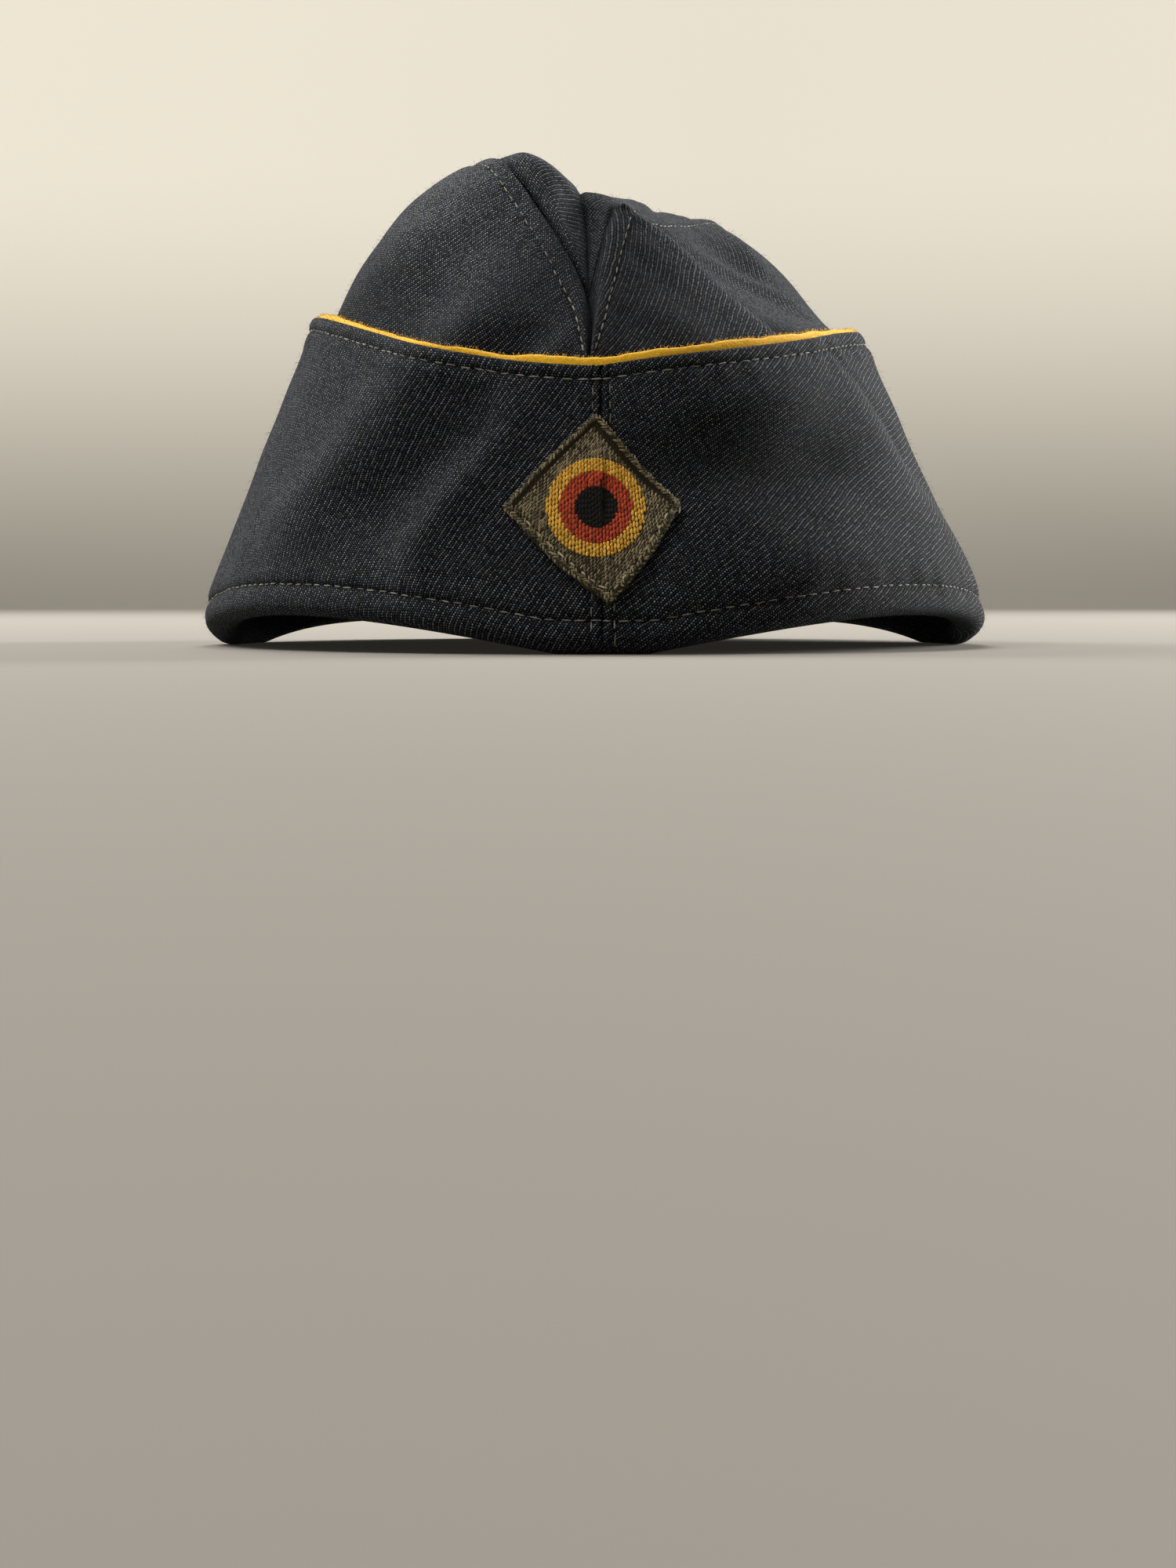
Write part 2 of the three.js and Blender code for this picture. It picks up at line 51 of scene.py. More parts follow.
RIM_HALF_WIDTH = 82.4
RIM_HALF_LENGTH = 104.0
HEM_ROLL = 2.4
HEM_SHARE = 0.2
TOP_HALF_WIDTH = {LEFT: 58.4, RIGHT: 54.6}
TOP_HALF_LENGTH_FRONT = 85.0
TOP_HALF_LENGTH_BACK = 87.0
TOP_HEIGHT_FRONT = 51.0
TOP_HEIGHT_SIDE = {LEFT: 66.5, RIGHT: 63.5}
TOP_HEIGHT_BACK = 58.0
TOP_RISE = {LEFT: 0.0, RIGHT: 1.4}  # extra height between the front seam and the side
ARCH_FRONT = 6.6
ARCH_REAR = 4.5
TOUCH_DEPTH = 1.6
SIDE_TOUCH_ANGLE = math.radians(100)
TURN_UP_WALL = 2.2
LIP_WALL = 0.9
LEDGE_DROP = 1.5

# Hollows (positive) and swells of the cloth: side, angle round from the front seam, share of the
# height, depth, and how far each reaches round and up.
TURN_UP_WAVES = (
    (LEFT, 72, 0.56, 0.8, 9, 0.40),
    (LEFT, 12, 0.70, 0.6, 12, 0.12),
    (LEFT, 35, 0.14, 0.6, 20, 0.15),
    (RIGHT, 29, 0.55, 4.2, 25, 0.13),
    (RIGHT, 28, 0.22, -2.5, 22, 0.13),
    (RIGHT, 30, 0.82, -1.7, 20, 0.10),
    (RIGHT, 15, 0.66, 0.8, 13, 0.12),
    (RIGHT, 58, 0.40, -1.2, 13, 0.22),
)

# Soft slanting folds: side, angle and share of the height where each starts and ends, width in
# degrees, and depth.
TURN_UP_FOLDS = (
    (LEFT, 48, 0.38, 33, 0.89, 8.0, -3.0),
    (LEFT, 34, 0.44, 21, 0.76, 6.0, 2.4),
    (LEFT, 26, 0.30, 16, 0.74, 4.0, -2.2),
    (RIGHT, 66, 0.66, 52, 0.97, 2.2, 0.6),
    (RIGHT, 68, 0.54, 60, 1.00, 7.0, 1.2),
)
TURN_UP_FOLD_FADE = 0.16
TOP_STITCH_DROP = 2.4  # rows of topstitching, from the top edge, the fold and the centre seams
HEM_STITCH_UP = 6.2
SEAM_STITCH_OUT = 1.75
WALE_ANGLE = {LEFT: 57.0, RIGHT: 41.0}  # the twill's slope at the front seam, in degrees
WALE_SPREAD = {LEFT: 1.12, RIGHT: 1.02}  # how far the bias has opened its ribs on each half
FLAT_RADIUS = 178.0  # of the curve that a half of the turn-up makes when it is laid flat

# Ditches that the stitches pull and bulges of the doubled cloth beside them: place, height, width.
TOP_DITCHES = ((TOP_STITCH_DROP, 0.42, 0.5),)  # places down from the top edge
TOP_BULGES = ((1.0, 0.22, 0.9), (4.4, 0.18, 1.5))
HEM_DITCHES = ((HEM_STITCH_UP, 0.5, 0.6),)  # places up from the fold
HEM_BULGES = ((3.4, 0.6, 1.9), (8.6, 0.18, 1.7))
SEAM_DITCHES = ((SEAM_STITCH_OUT, 0.35, 0.45), (0.0, 0.75, 0.4))  # places out from a centre seam
SEAM_BULGES = ((1.0, 0.2, 0.5),)


def bell(distance, width):
    return np.exp(-((distance / width) ** 2))


def bells(distance, rows):
    return sum(height * bell(distance - place, width) for place, height, width in rows)


def unit(vectors):
    return vectors / np.maximum(np.linalg.norm(vectors, axis=-1, keepdims=True), 1e-9)


def smooth(low, high, value):
    t = np.clip((value - low) / (high - low), 0, 1)
    return t * t * (3 - 2 * t)


def rim_height(angle):
    front = (ARCH_FRONT + TOUCH_DEPTH) * np.sin(np.pi * angle / SIDE_TOUCH_ANGLE)
    rear = (ARCH_REAR + TOUCH_DEPTH) * np.sin(np.pi * (angle - SIDE_TOUCH_ANGLE) / (np.pi - SIDE_TOUCH_ANGLE))
    return np.maximum(0, np.where(angle < SIDE_TOUCH_ANGLE, front, rear) - TOUCH_DEPTH)


def turn_up_height(side, angle):
    end = np.where(angle < np.pi / 2, TOP_HEIGHT_FRONT, TOP_HEIGHT_BACK)
    round_it = np.sin(angle)
    rise = np.where(angle < np.pi / 2, TOP_RISE[side] * 6.75 * round_it * (1 - round_it) ** 2, 0)
    return end + (TOP_HEIGHT_SIDE[side] - end) * round_it**2 + rise


def outward(side, angle):
    """Level direction out from the cap, at an angle round from the front seam."""
    x = side * np.sin(angle) / RIM_HALF_WIDTH
    y = -np.cos(angle) / RIM_HALF_LENGTH
    return unit(np.stack([x, y, np.zeros_like(angle)], -1))


def slanting_folds(rows, side, at, up, fade):
    """How far in the folds of a table lie, each along a line from its start to its end."""
    inward = np.zeros_like(at)
    for fold_side, at_1, up_1, at_2, up_2, width, depth in rows:
        if fold_side == side:
            share = np.clip((up - up_1) / (up_2 - up_1), 0, 1)
            across = at - (at_1 + (at_2 - at_1) * share)
            beyond = up - (up_1 + (up_2 - up_1) * share)
            inward = inward + depth * bell(across, width) * bell(beyond, fade)
    return inward


def turn_up_lie(side, angle, up):
    """How far the folds of the turn-up lie in from its even shape."""
    inward = slanting_folds(TURN_UP_FOLDS, side, np.degrees(angle), up, TURN_UP_FOLD_FADE)
    for wave_side, round_at, up_at, depth, wide, tall in TURN_UP_WAVES:
        if wave_side == side:
            inward = inward + depth * bell(np.degrees(angle) - round_at, wide) * bell(up - up_at, tall)
    return inward


def turn_up_face(side, angle, up):
    """Outer face of the turn-up, from the fold (up 0) to the top edge (up 1)."""
    angle, up = np.broadcast_arrays(np.asarray(angle, float), np.asarray(up, float))
    top_length = np.where(angle < np.pi / 2, TOP_HALF_LENGTH_FRONT, TOP_HALF_LENGTH_BACK)
    half_width = RIM_HALF_WIDTH + (TOP_HALF_WIDTH[side] - RIM_HALF_WIDTH) * up
    half_length = RIM_HALF_LENGTH + (top_length - RIM_HALF_LENGTH) * up
    inward = HEM_ROLL * np.maximum(0, 1 - up / HEM_SHARE) ** 2 + turn_up_lie(side, angle, up)
    low = rim_height(angle)
    height = low + (turn_up_height(side, angle) - low) * up
    place = np.stack([side * half_width * np.sin(angle), -half_length * np.cos(angle), height], -1)
    return place - outward(side, angle) * inward[..., None]


def turn_up_length(side, angle):
    """How far it is along the cloth from the fold to the top edge."""
    top = turn_up_face(side, angle, np.ones_like(angle))
    return np.linalg.norm(top - turn_up_face(side, angle, np.zeros_like(angle)), axis=-1)


def arc_along(path):
    """Distances along a path from its first point."""
    return np.concatenate([[0], np.cumsum(np.linalg.norm(np.diff(path, axis=0), axis=1))])


def drift(x, y, reach, seed):
    """Soft unevenness of cloth, about -1 to 1, in lumps of about the given reach."""
    rng = np.random.default_rng(seed)
    total = 0
    for _ in range(7):
        way = rng.uniform(0, 2 * np.pi)
        wave = reach * rng.uniform(0.7, 1.8)
        total = total + np.sin(2 * np.pi * (x * np.cos(way) + y * np.sin(way)) / wave + rng.uniform(0, 6.3))
    return total / 4


def on_twill(x, y, slope, spread):
    """Places on the cloth, as millimetres across and along the wales of a twill of that slope."""
    a = math.radians(slope)
    return np.stack([(y * math.cos(a) - x * math.sin(a)) / spread, x * math.cos(a) + y * math.sin(a)], -1)


def bezier(ends, t):
    """Points on a cubic curve, given its four control points for each station."""
    a, b, c, d = ends
    t = np.asarray(t)[None, :, None]
    return (
        (1 - t) ** 3 * a[:, None]
        + 3 * t * (1 - t) ** 2 * b[:, None]
        + 3 * t**2 * (1 - t) * c[:, None]
        + t**3 * d[:, None]
    )


def make_piece(name, points, faces, cloth, marks, caps=()):
    """A smooth mesh object from points in millimetres, four-cornered faces, each corner's place on
    the cloth, and marks on the points. Faces are turned to point outwards."""
    corner = points[faces]
    volume = np.einsum("ij,ij->", corner[:, 0], np.cross(corner[:, 1], corner[:, 2]))
    volume += np.einsum("ij,ij->", corner[:, 0], np.cross(corner[:, 2], corner[:, 3]))
    if volume < 0:
        faces, cloth = faces[:, ::-1], cloth[:, ::-1]
        caps = [cap[::-1] for cap in caps]
    mesh = bpy.data.meshes.new(name)
    mesh.from_pydata((points * MM).tolist(), [], faces.tolist() + [list(cap) for cap in caps])
    layer = mesh.uv_layers.new(name="cloth")
    corners = np.zeros((len(mesh.loops), 2), np.float32)
    corners[: cloth.shape[0] * 4] = cloth.reshape(-1, 2)
    layer.data.foreach_set("uv", corners.ravel())
    for mark, values in marks.items():
        own = mesh.attributes.new(mark, "FLOAT", "POINT")
        own.data.foreach_set("value", values.astype(np.float32).ravel())
    mesh.shade_smooth()
    piece = bpy.data.objects.new(name, mesh)
    bpy.context.scene.collection.objects.link(piece)
    return piece


def grid_index(stations, rows):
    i, j = np.meshgrid(np.arange(stations), np.arange(rows), indexing="ij")
    return i.ravel(), j.ravel()


def grid_faces(rows, i, next_i, j, next_j):
    """Four-cornered faces of a grid with that many rows, between two stations and two rows each."""
    return np.stack([i * rows + j, next_i * rows + j, next_i * rows + next_j, i * rows + next_j], 1)


def seam_stations(count, fine, fine_count):
    """Places from the front seam (0) to the back seam (1), closer together near both seams."""
    near = np.linspace(0, fine, fine_count)
    return np.concatenate([near, np.linspace(fine, 1 - fine, count)[1:-1], 1 - near[::-1]])


TURN_UP_STATIONS = seam_stations(300, 0.017, 18)
TOP_ROWS = (0, 0.35, 0.8, 1.25, 1.7, 2.1, 2.4, 2.7, 3.1, 3.6, 4.2, 5.0)  # down from the top edge
HEM_ROWS = (12, 11, 10, 9.2, 8.5, 7.9, 7.3, 6.8, 6.5, 6.2, 5.9, 5.6, 5.1, 4.5, 3.8, 3.0)  # up from the fold
MIDDLE_ROWS = 42
FOLD_BOTTOM_IN = 3.7  # the lowest point of the fold, in from the outer face
FOLD_INNER = (6.9, 2.4)  # where the fold meets its inner leg: in, up
LEG_TOP_INNER = (8.7, 8.2)
LEG_TOP_OUTER = (7.3, 8.2)
CHANNEL_INNER = (5.0, 1.9)
CHANNEL_OUTER = (2.4, 1.9)
INNER_ROWS = (0.12, 0.3, 0.5, 0.7, 0.88)


def turn_up_arc(side):
    """Distances of the turn-up's stations from the front seam, half-way up."""
    half_way = np.full_like(TURN_UP_STATIONS, 0.5)
    return arc_along(turn_up_face(side, np.pi * TURN_UP_STATIONS, half_way))


def turn_up_relief(side, arc, from_back, down, length):
    """How far the sewn cloth stands out from the plain wall, and the painted shade in its sewn lines, darker
    the deeper they are sunk.
    """
    above = length - down
    seam = np.minimum(arc, from_back)
    sunk = bells(down, TOP_DITCHES) + bells(above, HEM_DITCHES)
    beside_seam = bells(seam, SEAM_DITCHES)
    proud = bells(down, TOP_BULGES) + bells(above, HEM_BULGES) + bells(seam, SEAM_BULGES)
    near_rows = bell(down - 3.6, 3.0) + bell(above - 7.0, 3.5)
    pucker = 0.17 * drift(arc, down * 0.3, 6, 11 + side) * near_rows
    pucker = pucker + 0.12 * drift(down, arc * 0.3, 6, 17 + side) * bell(seam - 2.5, 2.5)
    uneven = 0.45 * drift(arc, down, 34, 5 + side) + 0.16 * drift(arc, down, 13, 8 + side)
    fade = smooth(0, 5, down) * smooth(0, 9, above) * smooth(0, 5, seam)
    return proud - sunk - beside_seam + pucker + uneven * fade, np.clip(sunk + beside_seam, 0, 1)


def turn_up_half(side):
    angle = np.pi * TURN_UP_STATIONS
    out = outward(side, angle)
    arc = turn_up_arc(side)
    from_back = arc[-1] - arc
    length = turn_up_length(side, angle)
    middle = np.linspace(0, 1, MIDDLE_ROWS + 2)[1:-1]
    first, last = TOP_ROWS[-1], length[:, None] - HEM_ROWS[0]
    down = np.concatenate(
        [
            np.broadcast_to(TOP_ROWS, (len(angle), len(TOP_ROWS))),
            first + (last - first) * middle,
            length[:, None] - np.array(HEM_ROWS),
        ],
        axis=1,
    )
    up = 1 - down / length[:, None]
    relief, painted_shading = turn_up_relief(side, arc[:, None], from_back[:, None], down, length[:, None])
    face = turn_up_face(side, angle[:, None], up) + out[:, None] * relief[..., None]

    bottom = turn_up_face(side, angle, 0 * angle)

    def near_bottom(place):
        return bottom - out * place[0] + UP * place[1]

    def inside(share, distance):
        return turn_up_face(side, angle, np.full_like(angle, share)) - out * distance

    hem_end = face[:, -1]
    hem_way = unit(face[:, -1] - face[:, -2])
    lowest = near_bottom((FOLD_BOTTOM_IN, 0))
    leg_foot = near_bottom(FOLD_INNER)
    steps = np.linspace(0, 1, 9)[1:]
    fold_out = bezier((hem_end, hem_end + hem_way * 1.9, lowest + out * 2.3, lowest), steps)
    fold_in = bezier((lowest, lowest - out * 2.0, leg_foot - UP * 1.4, leg_foot), steps)
    leg_tip = near_bottom(((LEG_TOP_INNER[0] + LEG_TOP_OUTER[0]) / 2, LEG_TOP_INNER[1] + 0.5))
    ledge_share = 1 - LEDGE_DROP / length.mean()
    single = [
        near_bottom(LEG_TOP_INNER),
        leg_tip,
        near_bottom(LEG_TOP_OUTER),
        near_bottom(CHANNEL_INNER),
        near_bottom(CHANNEL_OUTER),
        *[inside(share, TURN_UP_WALL) for share in INNER_ROWS],
        inside(ledge_share, TURN_UP_WALL),
        inside(ledge_share, LIP_WALL),
        inside(1, LIP_WALL),
        inside(1, 0.66 * LIP_WALL) + UP * 0.3,
        inside(1, 0.28 * LIP_WALL) + UP * 0.28,
    ]
    section = np.concatenate([face, fold_out, fold_in, np.stack(single, 1)], axis=1)
    stations, rows = section.shape[:2]
    run = arc_along(section.mean(0))
    run = np.append(run, run[-1] + 0.3)
    x = np.broadcast_to(side * arc[:, None], (stations, rows + 1))
    y = np.broadcast_to(-run, (stations, rows + 1))
    bent = x / FLAT_RADIUS
    reach = FLAT_RADIUS - y - length.mean() / 2
    cloth = on_twill(reach * np.sin(bent), -reach * np.cos(bent), WALE_ANGLE[side], WALE_SPREAD[side])
    i, j = grid_index(stations - 1, rows)
    faces = grid_faces(rows, i, i + 1, j, (j + 1) % rows)
    places = np.stack([cloth[i, j], cloth[i + 1, j], cloth[i + 1, j + 1], cloth[i, j + 1]], 1)
    shown = np.zeros((stations, rows))
    shown[:, : face.shape[1] + 2] = 1
    # Painted shade: the cloth is painted darker down in its sewn lines.
    shading_mark = np.zeros((stations, rows))
    shading_mark[:, : face.shape[1]] = painted_shading
    ends = [list(range(rows)), [(stations - 1) * rows + n for n in reversed(range(rows))]]
    marks = {"nap": shown, "painted_shading": shading_mark}
    return make_piece(f"turn_up_{SIDE_NAMES[side]}_cloth", section.reshape(-1, 3), faces, places, marks, ends)


class Value:
    """A number that a shader works out over a surface. Arithmetic on it adds Math nodes."""

    def __init__(self, tree, socket):
        self.tree = tree
        self.socket = socket

    def maths(self, operation, first, second):
        node = put(self.tree, "ShaderNodeMath", {"operation": operation}, {0: first, 1: second})
        return Value(self.tree, node.outputs[0])

    def __add__(self, other):
        return self.maths("ADD", self, other)

    def __radd__(self, other):
        return self.maths("ADD", other, self)

    def __sub__(self, other):
        return self.maths("SUBTRACT", self, other)

    def __rsub__(self, other):
        return self.maths("SUBTRACT", other, self)

    def __mul__(self, other):
        return self.maths("MULTIPLY", self, other)

    def __rmul__(self, other):
        return self.maths("MULTIPLY", other, self)

    def __truediv__(self, other):
        return self.maths("DIVIDE", self, other)

    def __pow__(self, other):
        return self.maths("POWER", self, other)

    def floor(self):
        return self.maths("FLOOR", self, 0.0)

    def above(self, level):
        return self.maths("GREATER_THAN", self, level)


def put(tree, kind, settings=None, inputs=None):
    """One node in a tree: its settings first, then its sockets' values or links."""
    node = tree.nodes.new(kind)
    for name, value in (settings or {}).items():
        setattr(node, name, value)
    for key, value in (inputs or {}).items():
        if isinstance(value, Value):
            value = value.socket
        if isinstance(value, bpy.types.NodeSocket):
            tree.links.new(value, node.inputs[key])
        else:
            node.inputs[key].default_value = value
    return node


def start_finish(name, fixed):
    """A new material with one Principled shader, and the shader's values that are the same all over."""
    material = bpy.data.materials.new(name)
    material.use_nodes = True
    tree = material.node_tree
    tree.nodes.clear()
    surface = put(tree, "ShaderNodeBsdfPrincipled", None, fixed)
    put(tree, "ShaderNodeOutputMaterial", None, {"Surface": surface.outputs[0]})
    return material, tree, surface


def cloth_finish(name, roughness, sheen, tint, specular):
    fixed = {"Roughness": roughness, "Sheen Weight": sheen, "Sheen Roughness": 0.5, "Sheen Tint": tint}
    return start_finish(name, {**fixed, "Specular IOR Level": specular})


def cloth_place(tree):
    """A place on the cloth, and its millimetres across and along."""
    place = put(tree, "ShaderNodeUVMap", {"uv_map": "cloth"}).outputs[0]
    split = put(tree, "ShaderNodeSeparateXYZ", None, {0: place})
    return place, Value(tree, split.outputs[0]), Value(tree, split.outputs[1])


def mark_value(tree, name):
    return Value(tree, put(tree, "ShaderNodeAttribute", {"attribute_name": name}).outputs["Fac"])


def noise(tree, place, scale, detail=2.0):
    inputs = {"Vector": place, "Scale": scale, "Detail": detail}
    return Value(tree, put(tree, "ShaderNodeTexNoise", None, inputs).outputs["Fac"])


def between(tree, share, first, second):
    """A colour between two colours."""
    mix = put(tree, "ShaderNodeMix", {"data_type": "RGBA"}, {0: share, 6: first, 7: second})
    return mix.outputs[2]


def raise_bump(tree, surface, height, distance, strength):
    bump = put(tree, "ShaderNodeBump", None, {"Height": height, "Distance": distance, "Strength": strength})
    tree.links.new(bump.outputs[0], surface.inputs["Normal"])


WALE_PITCH = 0.47  # between the twill's diagonal ribs
FLOAT_PITCH = 0.48  # between the yarn floats along a rib
FLOAT_STEP = 0.54  # how far the floats step from one rib to the next
WOOL_GROUND = (0.0011, 0.0013, 0.0018, 1)
WOOL_COOL = (0.254, 0.290, 0.364, 1)
WOOL_WARM = (0.316, 0.328, 0.342, 1)
WOOL_SHEEN = (0.70, 0.82, 1.0, 1)


def wool_finish():
    material, tree, surface = cloth_finish("wool_twill_finish", 0.94, 0.025, WOOL_SHEEN, 0.05)
    place, across, along = cloth_place(tree)
    wobble = noise(tree, place, 0.3, 1.0) - 0.5
    rib = (across + wobble * 0.5) * (1 / WALE_PITCH)
    rib_number = rib.floor()
    on_rib = rib - rib_number
    yarn = along * (1 / FLOAT_PITCH) + rib_number * FLOAT_STEP + wobble * 0.8
    yarn_number = yarn.floor()
    on_yarn = yarn - yarn_number
    ridge = on_rib * (1 - on_rib) * (on_yarn * (1 - on_yarn) * 8 + 2)
    cell = put(tree, "ShaderNodeCombineXYZ", None, {0: rib_number, 1: yarn_number})
    dice = put(tree, "ShaderNodeTexWhiteNoise", {"noise_dimensions": "2D"}, {"Vector": cell.outputs[0]})
    lots = put(tree, "ShaderNodeSeparateColor", None, {0: dice.outputs["Color"]})
    bright, hue, stray = (Value(tree, lot) for lot in lots.outputs[:3])
    on_rib = on_rib + stray * 0.18 - 0.09
    on_yarn = on_yarn + bright * 0.16 - 0.08
    dot = (on_rib * (1 - on_rib) * 4) ** 3 * (on_yarn * (1 - on_yarn) * 4) ** 4
    every_other = rib_number - (rib_number * 0.5).floor() * 2
    fibre = noise(tree, place, 4.0, 1.0)
    blotch = noise(tree, place, 0.08, 1.0)
    shading_mark = mark_value(tree, "painted_shading")
    drawn = put(tree, "ShaderNodeCombineXYZ", None, {0: across * 1.5, 1: along * 0.3})
    slub = noise(tree, drawn.outputs[0], 1.0, 1.0)
    yarn_light = (bright * 0.85 + 0.12) * (fibre * 1.2 + 0.3) * (slub * 0.8 + 0.6)
    float_light = dot * yarn_light * (every_other * 1.1 + 0.48)
    # Painted shading: the mark paints the twill darker in seams, stitch lines, creases and the fold, and
    # paler where the mark is below nought.
    light = (float_light + ridge * fibre * 0.02) * (blotch * 0.4 + 0.7) * (1 - shading_mark * 0.7)
    yarns = between(tree, hue.above(0.6), WOOL_COOL, WOOL_WARM)
    tree.links.new(between(tree, light, WOOL_GROUND, yarns), surface.inputs["Base Color"])
    raise_bump(tree, surface, ridge + fibre * 0.5, 0.0002, 0.7)
    return material


wool = wool_finish()
for side in (LEFT, RIGHT):
    piece = turn_up_half(side)
    piece.data.materials.append(wool)
    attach(piece, "root")
    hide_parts(f"turn_up_{SIDE_NAMES[side]}")

# Crown sides. Two wool panels, joined at the front and back centre, that stand in the fold of the
# turn-up and round over to the seams of the top piece. Each panel's edge rolls over its ridge to
# the sunk seam, and is topstitched along the ridge. The right panel has sunk into a slanting fold.
CROWN_WALL = 1.6
CROWN_BASE_UP = 3.0
CROWN_BASE_IN = 2.6
CROWN_GAP_SIDE = {LEFT: 2.4, RIGHT: 2.0}
CROWN_GAP_FRONT = 1.5
WAIST_DROP = 12.0
WAIST_SHARE = 0.5

# Seam ridges: along from front (0) to back (1), x, y, z, rise above the waist, swell.
RIDGE = {
    LEFT: (
        (0.00, -2.4, -82, 51.0, 3, 0),
        (0.12, -4.6, -69, 64.0, 8, 0),
        (0.25, -13.6, -49, 83.0, 18, 0),
        (0.36, -20.6, -34, 94.2, 25.5, 0.5),
        (0.52, -26.0, 0, 97.4, 27, 0),
        (0.70, -26.0, 38, 94.0, 26, 0),
        (0.86, -16.0, 65, 79.0, 15, 0),
        (1.00, -0.1, 83, 54.0, 3, 0),
    ),
    RIGHT: (
        (0.00, -2.2, -82, 51.0, 3, 0),
        (0.12, 1.2, -69, 64.0, 6, 0),
        (0.24, 5.6, -50, 81.6, 8, 0),
        (0.29, 7.0, -44.5, 84.2, 7, 0),
        (0.345, 9.5, -36, 83.2, 7, 0),
        (0.48, 18.0, -6, 86.8, 14.5, 1.5),
        (0.62, 26.0, 26, 91.2, 24, 1.8),
        (0.72, 27.0, 44, 91.0, 25, 1.8),
        (0.87, 16.0, 67, 78.0, 15, 0),
        (1.00, 0.1, 83, 54.0, 3, 0),
    ),
}

# Crease of the top piece: along, x, y, z.
CREASE = (
    (0.00, -2.3, -82, 50.0),
    (0.12, -2.0, -69, 61.0),
    (0.25, -2.2, -49, 79.0),
    (0.36, -3.4, -38, 88.4),
    (0.50, -1.8, -4, 83.5),
    (0.70, 0.0, 38, 80.0),
    (0.86, 0.0, 66, 70.0),
    (1.00, 0.0, 83, 53.0),
)
# Puff of each roll of the top piece: along, height.
PUFF = {
    LEFT: ((0.0, 6.6), (0.5, 6.6), (1.0, 6.6)),
    RIGHT: ((0.0, 2.4), (0.3, 2.4), (0.5, 3.0), (0.7, 4.0), (1.0, 3.6)),
}
PUFF_SHARE = 0.6

# Folds: side, along and up where it starts, along and up where it ends, width, depth.
CROWN_FOLDS = (
    (RIGHT, 0.42, 0.15, 0.40, 0.85, 0.095, 7.0),
    (LEFT, 0.20, 0.15, 0.28, 0.60, 0.080, 1.6),
    (RIGHT, 0.47, 0.42, 0.41, 0.92, 0.016, -1.3),
    (RIGHT, 0.475, 0.48, 0.465, 0.90, 0.020, 1.4),
    (RIGHT, 0.48, 0.52, 0.53, 0.90, 0.022, -1.3),
    (LEFT, 0.10, 0.10, 0.14, 0.50, 0.030, 0.9),
)

# Lip of the right panel's fold, where the front of the panel turns sharply in: up, along.
FOLD_LIP = ((0.0, 0.252), (0.4, 0.252), (0.6, 0.254), (0.8, 0.264), (0.9, 0.269), (1.0, 0.270))
FOLD_LIP_SWELL = 0.9
FOLD_LIP_DEPTH = 8.0
FOLD_LIP_TURN = 0.024  # how far along the turn takes
FOLD_PAINTED_SHADE = 0.95  # painted shade: how much darker the cloth is painted down in the fold
# painted highlight: how much paler the cloth is painted on the fold's lip
FOLD_PAINTED_HIGHLIGHT = 0.8
FOLD_DROP = 0.4
FOLD_FADE = 0.3


def table_at(rows, along):
    """A table's columns at places along it, on a smooth curve through its rows."""
    rows = np.asarray(rows, float)
    at = rows[:, 0]
    slope = np.empty_like(rows)
    slope[1:-1] = (rows[2:] - rows[:-2]) / (at[2:] - at[:-2])[:, None]
    slope[0] = (rows[1] - rows[0]) / (at[1] - at[0])
    slope[-1] = (rows[-1] - rows[-2]) / (at[-1] - at[-2])
    k = np.clip(np.searchsorted(at, along, side="right") - 1, 0, len(at) - 2)
    step = (at[k + 1] - at[k])[..., None]
    u = (along - at[k])[..., None] / step
    start = (1 + 2 * u) * (1 - u) ** 2 * rows[k] + u * (1 - u) ** 2 * step * slope[k]
    return start + u**2 * (3 - 2 * u) * rows[k + 1] + u**2 * (u - 1) * step * slope[k + 1]


def value_at(rows, along):
    """The value of a table with only one, at places along it."""
    return table_at(rows, along)[..., 1]


def off_ends(along):
    """Nothing at the front and back seams, and all of it a little way from them."""
    return smooth(0, 0.1, along) * smooth(0, 0.1, 1 - along)


def behind_lip(along, up):
    """How far along a place lies behind the lip of the right panel's fold."""
    return along - value_at(FOLD_LIP, up)


def fold_reach(up, fade):
    """Where the fold is full, between the waist and the ridge."""
    return smooth(0.05, 0.3, up) * smooth(0, fade, 1 - up)


def lip_in(along, up):
    """How far the lip of the fold turns in, less how far it swells out just in front."""
    behind = behind_lip(along, up)
    turned = smooth(0, FOLD_LIP_TURN, behind) * bell(np.maximum(behind - FOLD_LIP_TURN, 0), 0.07)
    swell = FOLD_LIP_SWELL * bell(behind + 0.012, 0.018)
    return (FOLD_LIP_DEPTH * turned - swell) * fold_reach(up, 0.07)


def fold_shade(along, up):
    # Painted shade down in the fold behind the lip, and a painted highlight on the lip.
    behind = behind_lip(along, up)
    shaded = smooth(0, 0.02, behind) * (1 - smooth(0.09, 0.15, behind))
    painted_lip_highlight = bell(np.minimum(behind + 0.01, 0), 0.05) * (1 - smooth(-0.01, 0, behind))
    return (FOLD_PAINTED_SHADE * shaded - FOLD_PAINTED_HIGHLIGHT * painted_lip_highlight) * fold_reach(up, 0.1)


def crown_fold(side, along, up):
    inward = slanting_folds(CROWN_FOLDS, side, along, up, FOLD_FADE) * np.sin(np.pi * up)
    return inward + lip_in(along, up) if side == RIGHT else inward


def above_waist(up):
    """The share of the way from the waist to the ridge."""
    return np.clip((up - WAIST_SHARE) / (1 - WAIST_SHARE), 0, 1)


